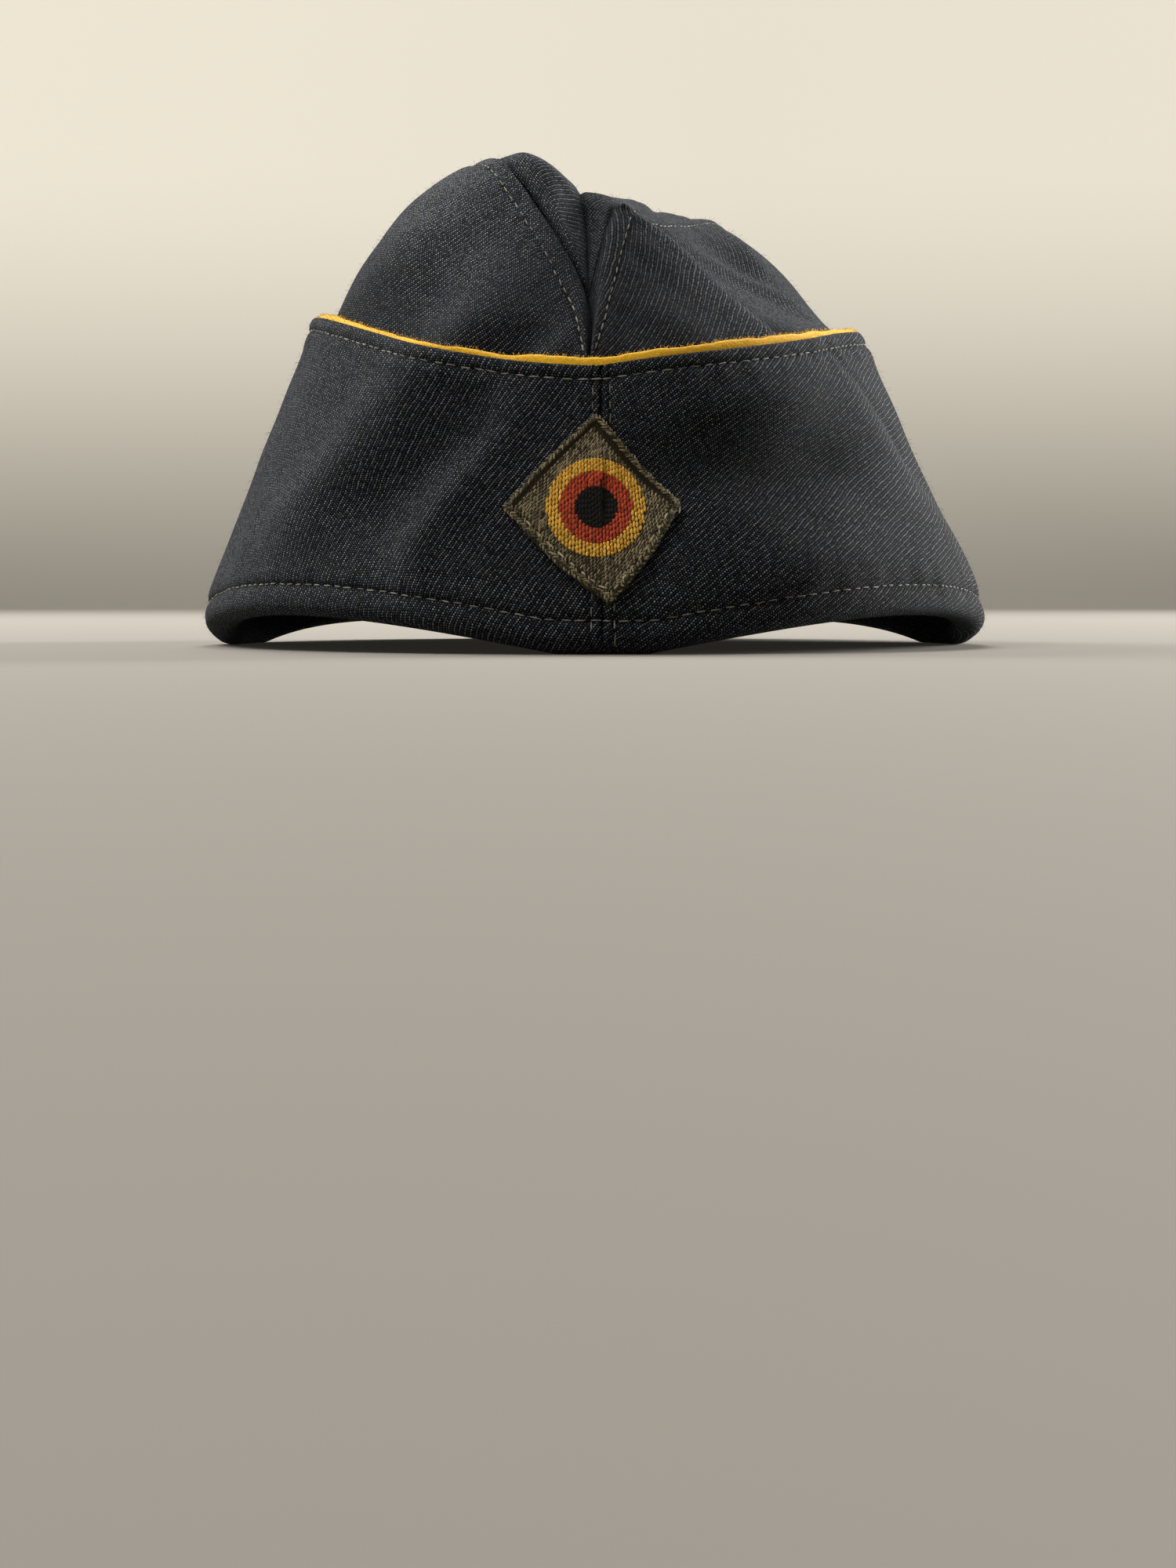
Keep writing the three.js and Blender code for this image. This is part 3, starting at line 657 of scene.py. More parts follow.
def crown_side_face(side, along, up, folds=1.0):
    """Outer face of a side panel, from the rim (up 0) by the waist to the ridge (up 1)."""
    along, up = np.broadcast_arrays(np.asarray(along, float), np.asarray(up, float))
    angle = np.pi * along
    out = outward(side, angle)
    base = turn_up_face(side, angle, 0 * angle) - out * CROWN_BASE_IN + UP * CROWN_BASE_UP
    waist_up = 1 - WAIST_DROP * np.cos(angle) ** 2 / turn_up_height(side, angle)
    gap = CROWN_GAP_FRONT + (CROWN_GAP_SIDE[side] - CROWN_GAP_FRONT) * np.sin(angle) ** 2
    waist = turn_up_face(side, angle, waist_up) - out * (TURN_UP_WALL + gap)[..., None]
    row = table_at(RIDGE[side], along)
    shoulder = waist + unit(waist - base) * row[..., 4:5] + out * row[..., 5:6]
    rounding = above_waist(up)
    q = rounding[..., None]
    upper = (1 - q) ** 2 * waist + 2 * q * (1 - q) * shoulder + q**2 * row[..., 1:4]
    share = np.clip(up / WAIST_SHARE, 0, 1)
    ends = (1 - share) * turn_up_lie(side, angle, 0 * angle) + share * turn_up_lie(side, angle, waist_up)
    pushed = np.maximum(0, turn_up_lie(side, angle, share * waist_up) - ends)
    lower = base + (waist - base) * share[..., None] - out * pushed[..., None]
    folded = folds * crown_fold(side, along, rounding)[..., None]
    return np.where(up[..., None] <= WAIST_SHARE, lower, upper) - folded * np.array([side, 0, FOLD_DROP])


def crown_top_face(side, along, share):
    """One half of the top piece, from the crease (share 0) to its ridge (share 1)."""
    along, share = np.broadcast_arrays(np.asarray(along, float), np.asarray(share, float))
    crease = table_at(CREASE, along)[..., 1:4]
    ridge = table_at(RIDGE[side], along)[..., 1:4]
    most = PUFF_SHARE * np.linalg.norm(ridge - crease, axis=-1)
    puff = np.minimum(value_at(PUFF[side], along), most)
    control = (ridge + crease) / 2 + UP * puff[..., None]
    q = share[..., None]
    return (1 - q) ** 2 * crease + 2 * q * (1 - q) * control + q**2 * ridge


def lift_way(along):
    """Up from the top piece, square to its crease."""
    step = 0.005
    ahead = table_at(CREASE, np.minimum(along + step, 1))
    behind = table_at(CREASE, np.maximum(along - step, 0))
    run = unit((ahead - behind)[..., 1:4])
    return unit(UP - run * run[..., 2:3])


# Width of the band from the topstitched ridge over to the sunk seam: along, width.
BAND = {
    LEFT: ((0.0, 6.0), (0.15, 5.6), (0.20, 3.2), (0.30, 2.7), (0.80, 2.7), (0.88, 5.0), (1.0, 6.0)),
    RIGHT: ((0.0, 6.0), (0.15, 5.2), (0.20, 4.2), (0.30, 3.6), (0.80, 2.7), (0.88, 5.0), (1.0, 6.0)),
}
BAND_SHARE = 0.96  # the same as a share of the half's width, where that is less
BAND_LIFT = 0.55
BAND_KNOB = {LEFT: (0.350, 0.5), RIGHT: (0.272, 1.0)}  # where the band's end stands up, and how far
SEAM_SINK = 0.9

# How far the topstitched line lies below the ridge: along, drop.
ROW_DROP = {
    LEFT: ((0.0, 0.9), (0.5, 0.9), (1.0, 0.9)),
    RIGHT: ((0.0, 0.5), (0.36, 0.5), (0.46, 0.9), (0.75, 0.9), (0.9, 0.9), (1.0, 0.9)),
}
CROWN_DITCH = 0.34  # how far the topstitching and the centre seams pull the cloth in
CROWN_SEAM_DITCH = 0.5
CROWN_PUCKER = 0.16  # how high the cloth puckers between the stitches
CROWN_ARC_ROW = 40  # the row that distances round the panel are measured on
CROWN_PAINTED_SHADE = {LEFT: 0.45, RIGHT: 0.35}  # painted shade: how much darker the cloth is painted over the left side and the right side's front
CROWN_PAINTED_HIGHLIGHT = 1.3  # painted highlight: how much paler the cloth is painted towards the top of the left side
SIDE_WALE_ANGLE = {LEFT: 58.0, RIGHT: 47.0}
SIDE_WALE_SPREAD = {LEFT: 1.12, RIGHT: 1.02}


def seam_share(side, along):
    """Where the sunk seam lies on a half of the top piece, as a share of the way to the ridge."""
    half = np.linalg.norm(crown_top_face(side, along, 1.0) - crown_top_face(side, along, 0.0), axis=-1)
    return 1 - np.minimum(value_at(BAND[side], along) / np.maximum(half, 0.1), BAND_SHARE)


def grid_normals(points, way):
    """Normals of a grid of points, on the side that faces the given way."""
    normal = unit(np.cross(np.gradient(points, axis=0), np.gradient(points, axis=1)))
    return normal * np.sign(np.sum(normal * way, axis=-1).mean())


def run_up(points):
    """Distances up each station of a grid of points, from its first row."""
    steps = np.linalg.norm(np.diff(points, axis=1), axis=2)
    return np.concatenate([np.zeros((len(points), 1)), np.cumsum(steps, axis=1)], axis=1)


def unrolled(points, normal, side, along, row, slope, spread):
    """Places on a panel's cloth, unrolled from one row of its grid, across and along the wales."""
    level = np.cross(UP, outward(side, np.pi * along))
    level = unit(level - normal * np.sum(level * normal, axis=-1, keepdims=True))
    rise = np.cross(normal, level)
    a = math.radians(slope)
    across_wales = (rise * math.cos(a) - level * math.sin(a)) / spread
    along_wales = level * math.cos(a) + rise * math.sin(a)
    places = []
    for way in (across_wales, along_wales):
        round_it = np.sum((way[1:, row] + way[:-1, row]) / 2 * np.diff(points[:, row], axis=0), axis=-1)
        up_it = np.sum((way[:, 1:] + way[:, :-1]) / 2 * np.diff(points, axis=1), axis=-1)
        start = np.concatenate([[0], np.cumsum(round_it)])[:, None]
        climb = np.concatenate([np.zeros((len(points), 1)), np.cumsum(up_it, axis=1)], axis=1)
        places.append(start + climb - climb[:, row : row + 1])
    return np.stack(places, -1)


def rows_between(marks, counts):
    """Rows from the first mark to the last, evenly spaced from each mark to the next."""
    spans = [np.linspace(*span) for span in zip(marks, marks[1:], counts)]
    return np.concatenate([*(span[:-1] for span in spans[:-1]), spans[-1]])


def ease(points, weight, rounds):
    """Points of a grid, eased along its rows where the weight says so."""
    for _ in range(rounds):
        bend = points[:, 2:] - 2 * points[:, 1:-1] + points[:, :-2]
        points[:, 1:-1] += 0.25 * weight[:, 1:-1, None] * bend
    return points


def make_panel(name, outer, inner, cloth, marks):
    """A closed panel between an outer and an inner grid of points."""
    stations, rows = outer.shape[:2]
    count = stations * rows
    i, j = grid_index(stations - 1, rows - 1)
    front = grid_faces(rows, i, i + 1, j, j + 1)
    row = np.arange(rows - 1)
    last_row = (stations - 1) * rows + row
    low = np.arange(stations - 1) * rows
    high = low + rows - 1
    rims = []
    for start, end in ((row + 1, row), (last_row, last_row + 1), (low, low + rows), (high + rows, high)):
        rims.append(np.stack([start, end, end + count, start + count], 1))
    faces = np.concatenate([front, front[:, ::-1] + count, *rims])
    points = np.concatenate([outer.reshape(-1, 3), inner.reshape(-1, 3)])
    places = np.concatenate([cloth.reshape(-1, 2), cloth.reshape(-1, 2)])[faces]
    both = {mark: np.concatenate([values.ravel(), np.zeros(count)]) for mark, values in marks.items()}
    return make_piece(name, points, faces, places, both)


def crown_side(side):
    along = seam_stations(210, 0.012, 7)
    if side == RIGHT:
        along = np.union1d(along, np.linspace(0.235, 0.315, 48))
    along = along[:, None]
    up_rows = rows_between((0, 0.4, 0.94, 1), (9, 66, 14))
    face = crown_side_face(side, along, up_rows[None, :])
    band = np.linspace(0, 1, 15)[None, 1:]
    share = 1 - band * (1 - seam_share(side, along))
    over = crown_top_face(side, along, share)
    lift = BAND_LIFT * np.sin(np.pi * band) - SEAM_SINK * smooth(0.62, 1.0, band)
    knob_at, knob_high = BAND_KNOB[side]
    lift = lift + knob_high * bell(along - knob_at, 0.013) * np.sin(np.pi * band)
    over = over + lift_way(along) * (lift * off_ends(along))[..., None]
    outer = np.concatenate([face, over], axis=1)
    ridge_row = len(up_rows) - 1
    rows = np.arange(outer.shape[1])
    outer = ease(outer, np.broadcast_to(bell(rows - ridge_row, 9.0), outer.shape[:2]), 26)
    run = run_up(outer)
    arc = arc_along(face[:, CROWN_ARC_ROW])[:, None]
    x = side * np.broadcast_to(arc, run.shape)
    from_ridge = run - run[:, ridge_row : ridge_row + 1]
    up = np.concatenate([up_rows, np.ones(band.shape[1])])[None, :]
    shown = smooth(0.35, 0.6, up) * np.ones_like(run)
    seam = np.minimum(arc, arc[-1] - arc)
    out = outward(side, np.pi * along)
    normal = grid_normals(outer, out)
    stitched = bell(from_ridge + value_at(ROW_DROP[side], along), 0.5)
    groove = CROWN_DITCH * stitched * smooth(2, 8, seam)
    pucker = CROWN_PUCKER * drift(x, run * 0.3, 6, 23 + side) * bell(from_ridge + 2.5, 2.5)
    uneven = (0.7 * drift(x, run, 42, 31 + side) + 0.22 * drift(x, run, 15, 37 + side)) * shown
    uneven = uneven * smooth(0, 6, np.abs(from_ridge)) * smooth(0, 6, seam)
    outer = outer + normal * (uneven + pucker - groove - CROWN_SEAM_DITCH * bell(seam, 0.5))[..., None]
    # Painted shade on the band down to the sunk seam and in the stitch groove, then the painted shade and
    # painted highlight of each side, and of the right panel's fold.
    sunk = smooth(0.7, 1.0, np.concatenate([np.zeros_like(up_rows), band[0]]))[None, :] + groove
    if side == LEFT:
        sunk = sunk + CROWN_PAINTED_SHADE[side] - CROWN_PAINTED_HIGHLIGHT * smooth(0.6, 0.88, up) * smooth(0.14, 0.32, along)
    else:
        sunk = sunk + CROWN_PAINTED_SHADE[side] * (1 - smooth(0.26, 0.36, along))
        sunk[:, : len(up_rows)] += fold_shade(along, above_waist(up_rows)[None, :])
    inner = outer - normal * CROWN_WALL
    flat = np.concatenate([crown_side_face(side, along, up_rows[None, :], 0.0), over], axis=1)
    half_way = np.searchsorted(up_rows, 0.75)
    twill = (SIDE_WALE_ANGLE[side], SIDE_WALE_SPREAD[side])
    cloth = unrolled(flat, grid_normals(flat, out), side, along, half_way, *twill)
    marks = {"nap": shown, "painted_shading": np.clip(sunk, -1, 1)}
    return make_panel(f"crown_side_{SIDE_NAMES[side]}_cloth", outer, inner, cloth, marks)


for side in (LEFT, RIGHT):
    piece = crown_side(side)
    piece.data.materials.append(wool)
    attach(piece, "root")
    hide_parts(f"crown_side_{SIDE_NAMES[side]}")

# Crown top. A long pointed piece of the same twill, sewn in between the side panels. It is folded
# in along its middle, so it lies in two soft rolls with a sharp crease between them.
CREASE_TUCK = 0.4  # how far the crease is drawn in
TOP_PAINTED_HIGHLIGHT = 0.5  # painted highlight: how much paler the left roll is painted
# Extra fullness of each roll beside its seam: along, height.
ROLL_LIFT = {
    LEFT: ((0.0, 1.7), (0.5, 1.7), (1.0, 1.7)),
    RIGHT: ((0.0, 0.3), (0.33, 0.3), (0.45, 3.4), (0.7, 3.4), (1.0, 0.5)),
}
TOP_WALE_ANGLE = 47.0
TOP_WALE_SPREAD = 1.03


def crown_top():
    along = rows_between((0.012, 0.06, 0.94, 0.988), (12, 190, 12))[:, None]
    y = rows_between((0, 0.2, 0.8, 1), (12, 26, 14))
    halves = []
    for side in (LEFT, RIGHT):
        seam = seam_share(side, along)
        share = seam * (1 - y)
        half = crown_top_face(side, along, share)
        width = np.linalg.norm(half[:, :1] - half[:, -1:], axis=-1)
        roll = value_at(ROLL_LIFT[side], along) * (1 - y) * smooth(0, 0.3, y) * smooth(2, 9, width)
        sink = SEAM_SINK * (1 - smooth(0, 1.3, y * width)) * off_ends(along)
        tuck = CREASE_TUCK * bell((1 - y) * width, 0.7) * smooth(1, 6, width)
        half = half + lift_way(along) * (roll - sink - tuck)[..., None]
        halves.append(half)
    left, right = halves
    outer = np.concatenate([left, right[:, -2::-1]], axis=1)
    run = run_up(outer)
    middle = left.shape[1] - 1
    x = run - run[:, middle : middle + 1]
    depth = np.broadcast_to(arc_along(outer[:, middle // 2])[:, None], x.shape)
    edge = np.minimum(run, run[:, -1:] - run)
    uneven = 0.5 * drift(x, depth, 30, 41) + 0.2 * drift(x, depth, 12, 43)
    uneven = uneven * smooth(1, 6, edge) * smooth(1, 5, np.abs(x))
    outer = outer + grid_normals(outer, lift_way(along)) * uneven[..., None]
    inner = outer - lift_way(along) * CROWN_WALL
    # Painted shade along the seams at the edges and along the crease, and a painted highlight on the left
    # roll.
    sunk = np.clip(bell(edge, 1.0) + bell(x, 0.9) - TOP_PAINTED_HIGHLIGHT * (x < 0) * smooth(0.9, 3, np.abs(x)), -1, 1)
    cloth = on_twill(x, depth, TOP_WALE_ANGLE, TOP_WALE_SPREAD)
    return make_panel("crown_top_cloth", outer, inner, cloth, {"nap": np.ones_like(x), "painted_shading": sunk})


top_piece = crown_top()
top_piece.data.materials.append(wool)
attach(top_piece, "root")
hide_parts("crown_top")

# Piping. One strip of yellow wool felt, folded over and sewn in behind the top edge of the turn-up,
# so that its soft fold stands a little above the cloth all the way round.
PIPING_IN = 0.85  # from the turn-up's outer face to the piping's
PIPING_WIDTH = 1.7
PIPING_HALF = 250  # about half its length round the cap
PIPING_STAND = 1.75  # how far it stands above the turn-up's edge, and how much less towards the sides
PIPING_SIDE_LESS = {LEFT: (0.90, 0.05, 0.7), RIGHT: (0.75, 0.6, 0.95)}
PIPING_ROOT = 1.2  # how far it goes down behind the lip
PIPING_SPAN = 1.3  # between its stations and between its rows, on average
PIPING_RISE = 0.4
PIPING_SQUARE = 0.7  # the power that squares its round section
PIPING_COLOUR = (0.82, 0.49, 0.028, 1)
PIPING_SHADE = (0.56, 0.29, 0.014, 1)
PIPING_SHEEN = (1.0, 0.85, 0.45, 1)


def piping_loop():
    along = np.linspace(0, 1, 361)
    turns = np.linspace(0, 2 * np.pi, 19)[:-1]
    rings = []
    for side, places in ((LEFT, along), (RIGHT, along[::-1][1:-1])):
        angle = np.pi * places
        out = outward(side, angle)
        edge = turn_up_face(side, angle, np.ones_like(angle))
        lean = unit(edge - turn_up_face(side, angle, np.full_like(angle, 0.6)))
        arc = side * places * PIPING_HALF
        uneven = 0.26 * drift(arc, 0 * arc, 16, 51) + 0.12 * drift(arc, 0 * arc, 5, 53)
        less, least, most = PIPING_SIDE_LESS[side]
        stand = PIPING_STAND - less * smooth(least, most, np.sin(angle)) + uneven
        sway = 0.18 * drift(arc, 0 * arc, 22, 57)
        middle = edge - out * (PIPING_IN + PIPING_WIDTH / 2 + sway)[:, None]
        centre = middle + lean * ((stand - PIPING_ROOT) / 2)[:, None]
        tall = (stand + PIPING_ROOT) / 2
        across = np.sign(np.cos(turns)) * np.abs(np.cos(turns)) ** PIPING_SQUARE * PIPING_WIDTH / 2
        rise = np.sign(np.sin(turns)) * np.abs(np.sin(turns)) ** PIPING_SQUARE
        ring = centre[:, None] + out[:, None] * across[None, :, None]
        rings.append(ring + lean[:, None] * (tall[:, None] * rise[None])[..., None])
    loop = np.concatenate(rings)
    stations, rows = loop.shape[:2]
    i, j = grid_index(stations, rows)
    faces = grid_faces(rows, i, (i + 1) % stations, j, (j + 1) % rows)
    corners = ((0, 0), (1, 0), (1, 1), (0, 1))
    places = np.stack([np.stack([(i + u) * PIPING_SPAN, (j + v) * PIPING_RISE], 1) for u, v in corners], 1)
    nap = np.broadcast_to(smooth(-0.4, 0.2, np.sin(turns)), (stations, rows))
    return make_piece("piping_felt", loop.reshape(-1, 3), faces, places, {"nap": nap})


def felt_finish():
    material, tree, surface = cloth_finish("piping_felt_finish", 0.95, 0.3, PIPING_SHEEN, 0.1)
    place = put(tree, "ShaderNodeTexCoord").outputs["Object"]
    tuft = noise(tree, place, 1800.0, 4.0)
    patch = noise(tree, place, 160.0, 3.0)
    share = tuft * 1.1 + patch * 0.7 - 0.45
    tree.links.new(between(tree, share, PIPING_SHADE, PIPING_COLOUR), surface.inputs["Base Color"])
    raise_bump(tree, surface, tuft + patch, 0.0003, 0.7)
    return material


felt = felt_finish()
piping = piping_loop()
piping.data.materials.append(felt)
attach(piping, "root")
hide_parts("piping")

# Topstitching. Pale grey-beige thread in even running stitches: under the turn-up's edge, above its
# fold, beside its two centre seams, and along both ridges of the crown.
STITCH_PITCH = 2.8
STITCH_LENGTH = 2.0
STITCH_WIDTH = 0.32
STITCH_THICK = 0.28
STITCH_PROUD = 0.1  # how far the thread's middle stands out from the cloth
STITCH_TILT = 0.35  # how much its outer side is turned up
RIDGE_SINK = 0.12  # how far the ridges' stitches are sunk
RIDGE_DEEPER = {LEFT: (0, 0.48, 0.13), RIGHT: (0.22, 0.48, 0.13)}  # how much more, where along, how far
THREAD_STRAND = 2500.0  # how fine its strands are
THREAD_COLOUR = (0.28, 0.26, 0.225, 1)
THREAD_SHADE = (0.09, 0.083, 0.072, 1)


def start_tree(name, numbers, finish):
    """A new tree of geometry nodes with named inputs, and the sockets that give them."""
    tree = bpy.data.node_groups.new(name, "GeometryNodeTree")
    kinds = {"Geometry": "Geometry", **dict.fromkeys(numbers, "Float"), "Seed": "Int", finish: "Material"}
    for socket, kind in kinds.items():
        tree.interface.new_socket(socket, in_out="INPUT", socket_type="NodeSocket" + kind)
    tree.interface.new_socket("Geometry", in_out="OUTPUT", socket_type="NodeSocketGeometry")
    return tree, put(tree, "NodeGroupInput").outputs


def end_tree(tree, geometry, finish):
    dyed = put(tree, "GeometryNodeSetMaterial", None, {"Geometry": geometry, "Material": finish})
    put(tree, "NodeGroupOutput", None, {0: dyed.outputs[0]})


def point_mark(tree, name, kind="FLOAT"):
    return put(tree, "GeometryNodeInputNamedAttribute", {"data_type": kind}, {"Name": name}).outputs[0]


def by_chance(tree, low, high, seed):
    node = put(tree, "FunctionNodeRandomValue", {"data_type": "FLOAT"}, {2: low, 3: high, "Seed": seed})
    return Value(tree, node.outputs[1])


def set_out(tree, points, instance, turn, size):
    """One instance on each point."""
    inputs = {"Points": points, "Instance": instance, "Rotation": turn, "Scale": size}
    return put(tree, "GeometryNodeInstanceOnPoints", None, inputs).outputs[0]


def bead_tree():
    """Short beads of thread, one on each point, laid along the point's own direction."""
    tree, given = start_tree("thread_beads", ("Length", "Width", "Thickness", "Unevenness"), "Thread")
    lie, stand = (point_mark(tree, name, "FLOAT_VECTOR") for name in ("lie", "stand"))
    axes = {"primary_axis": "X", "secondary_axis": "Z"}
    turn = put(tree, "FunctionNodeAxesToRotation", axes, {"Primary Axis": lie, "Secondary Axis": stand})
    uneven = Value(tree, given["Unevenness"])
    vary = by_chance(tree, 1.0 - uneven, 1.0 + uneven, given["Seed"])
    long = Value(tree, given["Length"]) * point_mark(tree, "reach") * vary
    sizes = {0: long, 1: given["Width"], 2: given["Thickness"]}
    size = put(tree, "ShaderNodeCombineXYZ", None, sizes)
    bead = put(tree, "GeometryNodeMeshUVSphere", None, {"Segments": 8, "Rings": 5, "Radius": 0.5})
    spread = set_out(tree, given["Geometry"], bead.outputs[0], turn.outputs[0], size.outputs[0])
    shade = by_chance(tree, 0.0, 1.0, Value(tree, given["Seed"]) + 11.0)
    toned = put(
        tree,
        "GeometryNodeStoreNamedAttribute",
        {"data_type": "FLOAT", "domain": "INSTANCE"},
        {"Geometry": spread, "Name": "tone", "Value": shade},
    )
    whole = put(tree, "GeometryNodeRealizeInstances", None, {0: toned.outputs[0]})
    soft = put(tree, "GeometryNodeSetShadeSmooth", None, {0: whole.outputs[0]})
    end_tree(tree, soft.outputs[0], given["Thread"])
    return tree


def grown(name, source, tree, values):
    """The plain mesh that a tree makes of a source mesh, as an object."""
    carrier = bpy.data.objects.new(name + "_source", source)
    bpy.context.scene.collection.objects.link(carrier)
    modifier = carrier.modifiers.new("grow", "NODES")
    modifier.node_group = tree
    for item in tree.interface.items_tree:
        if item.in_out == "INPUT" and item.name in values:
            modifier[item.identifier] = values[item.name]
    evaluated = carrier.evaluated_get(bpy.context.evaluated_depsgraph_get())
    mesh = bpy.data.meshes.new_from_object(evaluated)
    mesh.name = name
    carrier.modifiers.remove(modifier)
    bpy.data.objects.remove(carrier)
    piece = bpy.data.objects.new(name, mesh)
    bpy.context.scene.collection.objects.link(piece)
    return piece


def bead_values(length, width, thickness, unevenness, seed, finish):
    return {
        "Length": length * MM,
        "Width": width * MM,
        "Thickness": thickness * MM,
        "Unevenness": unevenness,
        "Seed": seed,
        "Thread": finish,
    }


def points_mesh(name, places, lie, stand, reach=1.0):
    """Loose points in millimetres, each with the way its bead lies and stands, and its share of length."""
    mesh = bpy.data.meshes.new(name)
    mesh.from_pydata((places * MM).tolist(), [], [])
    for mark, values in (("lie", lie), ("stand", stand)):
        own = mesh.attributes.new(mark, "FLOAT_VECTOR", "POINT")
        own.data.foreach_set("vector", values.astype(np.float32).ravel())
    shares = np.broadcast_to(np.asarray(reach, np.float32), len(places)).copy()
    mesh.attributes.new("reach", "FLOAT", "POINT").data.foreach_set("value", shares)
    return mesh


def row_of_stitches(path, stand, seed):
    """Stitches at even steps along a path, as places, directions and normals."""
    arc = arc_along(path)
    rng = np.random.default_rng(seed)
    at = np.arange(STITCH_PITCH / 2, arc[-1], STITCH_PITCH)
    at = at + rng.uniform(-0.12, 0.12, len(at)) * STITCH_PITCH

    def sample(values, where):
        return np.stack([np.interp(where, arc, values[:, c]) for c in range(3)], 1)

    lie = unit(sample(path, at + 0.6) - sample(path, at - 0.6))
    out = unit(sample(stand, at))
    side_step = np.cross(out, lie) * rng.normal(0, 0.05, (len(at), 1))
    slant = np.cross(out, lie) * rng.normal(0, 0.05, (len(at), 1))
    return sample(path, at) + side_step, unit(lie + slant), out


def turn_up_row(side, along, down_from_top=None, up_from_fold=None):
    """A line on the sewn face of the turn-up, with its normals."""
    angle = np.pi * along
    length = turn_up_length(side, angle)
    down = np.full_like(angle, down_from_top) if up_from_fold is None else length - up_from_fold
    arc = turn_up_arc(side)
    arc_here = np.interp(along, TURN_UP_STATIONS, arc)
    relief, _ = turn_up_relief(side, arc_here, arc[-1] - arc_here, down, length)
    out = outward(side, angle)
    face = turn_up_face(side, angle, 1 - down / length) + out * (relief + STITCH_PROUD)[:, None]
    return face, unit(out + STITCH_TILT * UP)


def seam_row(side, at_back):
    """A line beside a centre seam of the turn-up, from its top edge down over the fold."""
    arc = turn_up_arc(side)
    where = np.interp(SEAM_STITCH_OUT, arc, TURN_UP_STATIONS)
    where = 1 - where if at_back else where
    angle = np.array([np.pi * where])
    length = turn_up_length(side, angle)[0]
    down = np.linspace(TOP_STITCH_DROP + 0.8, length - 2.5, 60)
    relief, _ = turn_up_relief(side, SEAM_STITCH_OUT, 100.0, down, length)
    out = outward(side, angle)
    face = turn_up_face(side, np.full_like(down, angle[0]), 1 - down / length)
    face = face + out * (relief + STITCH_PROUD)[:, None]
    return face, np.broadcast_to(unit(out + STITCH_TILT * UP), face.shape)


def ridge_row(side):
    """The topstitched line along a ridge of the crown."""
    along = np.linspace(0.035, 0.965, 260)
    rows = np.linspace(0.9, 1, 30)
    strip = crown_side_face(side, along[:, None], rows[None])
    back = np.linalg.norm(strip - strip[:, -1:], axis=2)
    k = np.argmin(np.abs(back - value_at(ROW_DROP[side], along)[:, None]), axis=1)
    path = strip[np.arange(len(along)), k]
    normal = grid_normals(strip, outward(side, np.pi * along[:, None]))[np.arange(len(along)), k]
    deeper, deepest_at, reach = RIDGE_DEEPER[side]
    sunk = RIDGE_SINK + deeper * bell(along - deepest_at, reach)
    return path - normal * sunk[:, None], normal


def thread_finish(name, light, dark, scale, vary=0.8):
    fixed = {"Roughness": 0.75, "Sheen Weight": 0.05, "Specular IOR Level": 0.15}
    material, tree, surface = start_finish(name, fixed)
    place = put(tree, "ShaderNodeTexCoord").outputs["Object"]
    strand = noise(tree, place, scale, 3.0)
    tone = mark_value(tree, "tone")
    share = tone * vary + strand * 1.2 - 0.1 - 0.5 * vary
    tree.links.new(between(tree, share, dark, light), surface.inputs["Base Color"])
    raise_bump(tree, surface, strand, 0.0001, 0.5)
    return material


rows = []
every = np.linspace(0, 1, 420)
for side in (LEFT, RIGHT):
    rows.append(row_of_stitches(*turn_up_row(side, every, down_from_top=TOP_STITCH_DROP), 61 + side))
    rows.append(row_of_stitches(*turn_up_row(side, every, up_from_fold=HEM_STITCH_UP), 64 + side))
    rows.append(row_of_stitches(*seam_row(side, False), 67 + side))
    rows.append(row_of_stitches(*seam_row(side, True), 70 + side))
    rows.append(row_of_stitches(*ridge_row(side), 73 + side))
beads = bead_tree()
thread = thread_finish("topstitch_thread_finish", THREAD_COLOUR, THREAD_SHADE, THREAD_STRAND)
stitch_points = points_mesh("stitch_points", *[np.concatenate(part) for part in zip(*rows)])
stitch_values = bead_values(STITCH_LENGTH, STITCH_WIDTH, STITCH_THICK, 0.14, 3, thread)
topstitching = grown("topstitching", stitch_points, beads, stitch_values)
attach(topstitching, "root")

# Cockade patch. A diamond of grey-green ribbed weave with its edges folded under, sewn over the
# front seam by hand with small overcast stitches that show along its lower edges.
PATCH_UP = 0.497
PATCH_CORNERS = {"top": (-0.9, 17.7), "right": (14.1, -1.0), "bottom": (1.0, -17.8), "left": (-17.0, -1.7)}
PATCH_BULGE = {"bottom": 0.2, "right": 0.2, "top": 1.4, "left": 0.2}  # of the edge on from each corner
PATCH_LOW = 0.25  # its underside, out from the turn-up
PATCH_FIELD = 0.8  # the ground of the weave
EDGE_LIFT = 0.55  # how far the folded edge stands above that
CORNER_LIFT = 0.5  # and the corners, where it is folded twice
EDGE_FOLD = 1.4  # how wide the folded edge is
EDGE_ROUND = 0.8  # how far in its rounding reaches
EDGE_FOOT = 0.15  # how far above the underside the rounding starts
RING_LIFT = 0.2  # the middle, thick with embroidery
COCKADE_ACROSS = -1.0
COCKADE_STRETCH = 1.06
COCKADE_RADIUS = 8.65
PATCH_COLOUR = (0.355, 0.296, 0.178, 1)
PATCH_SHADE = (0.020, 0.016, 0.009, 1)
EDGE_COLOUR = (0.070, 0.059, 0.032, 1)
GROUND_COLOUR = (0.030, 0.025, 0.015, 1)
PATCH_RIB = 0.5  # between the ribs of its weave, and between the picks along them
PATCH_PICK = 0.7


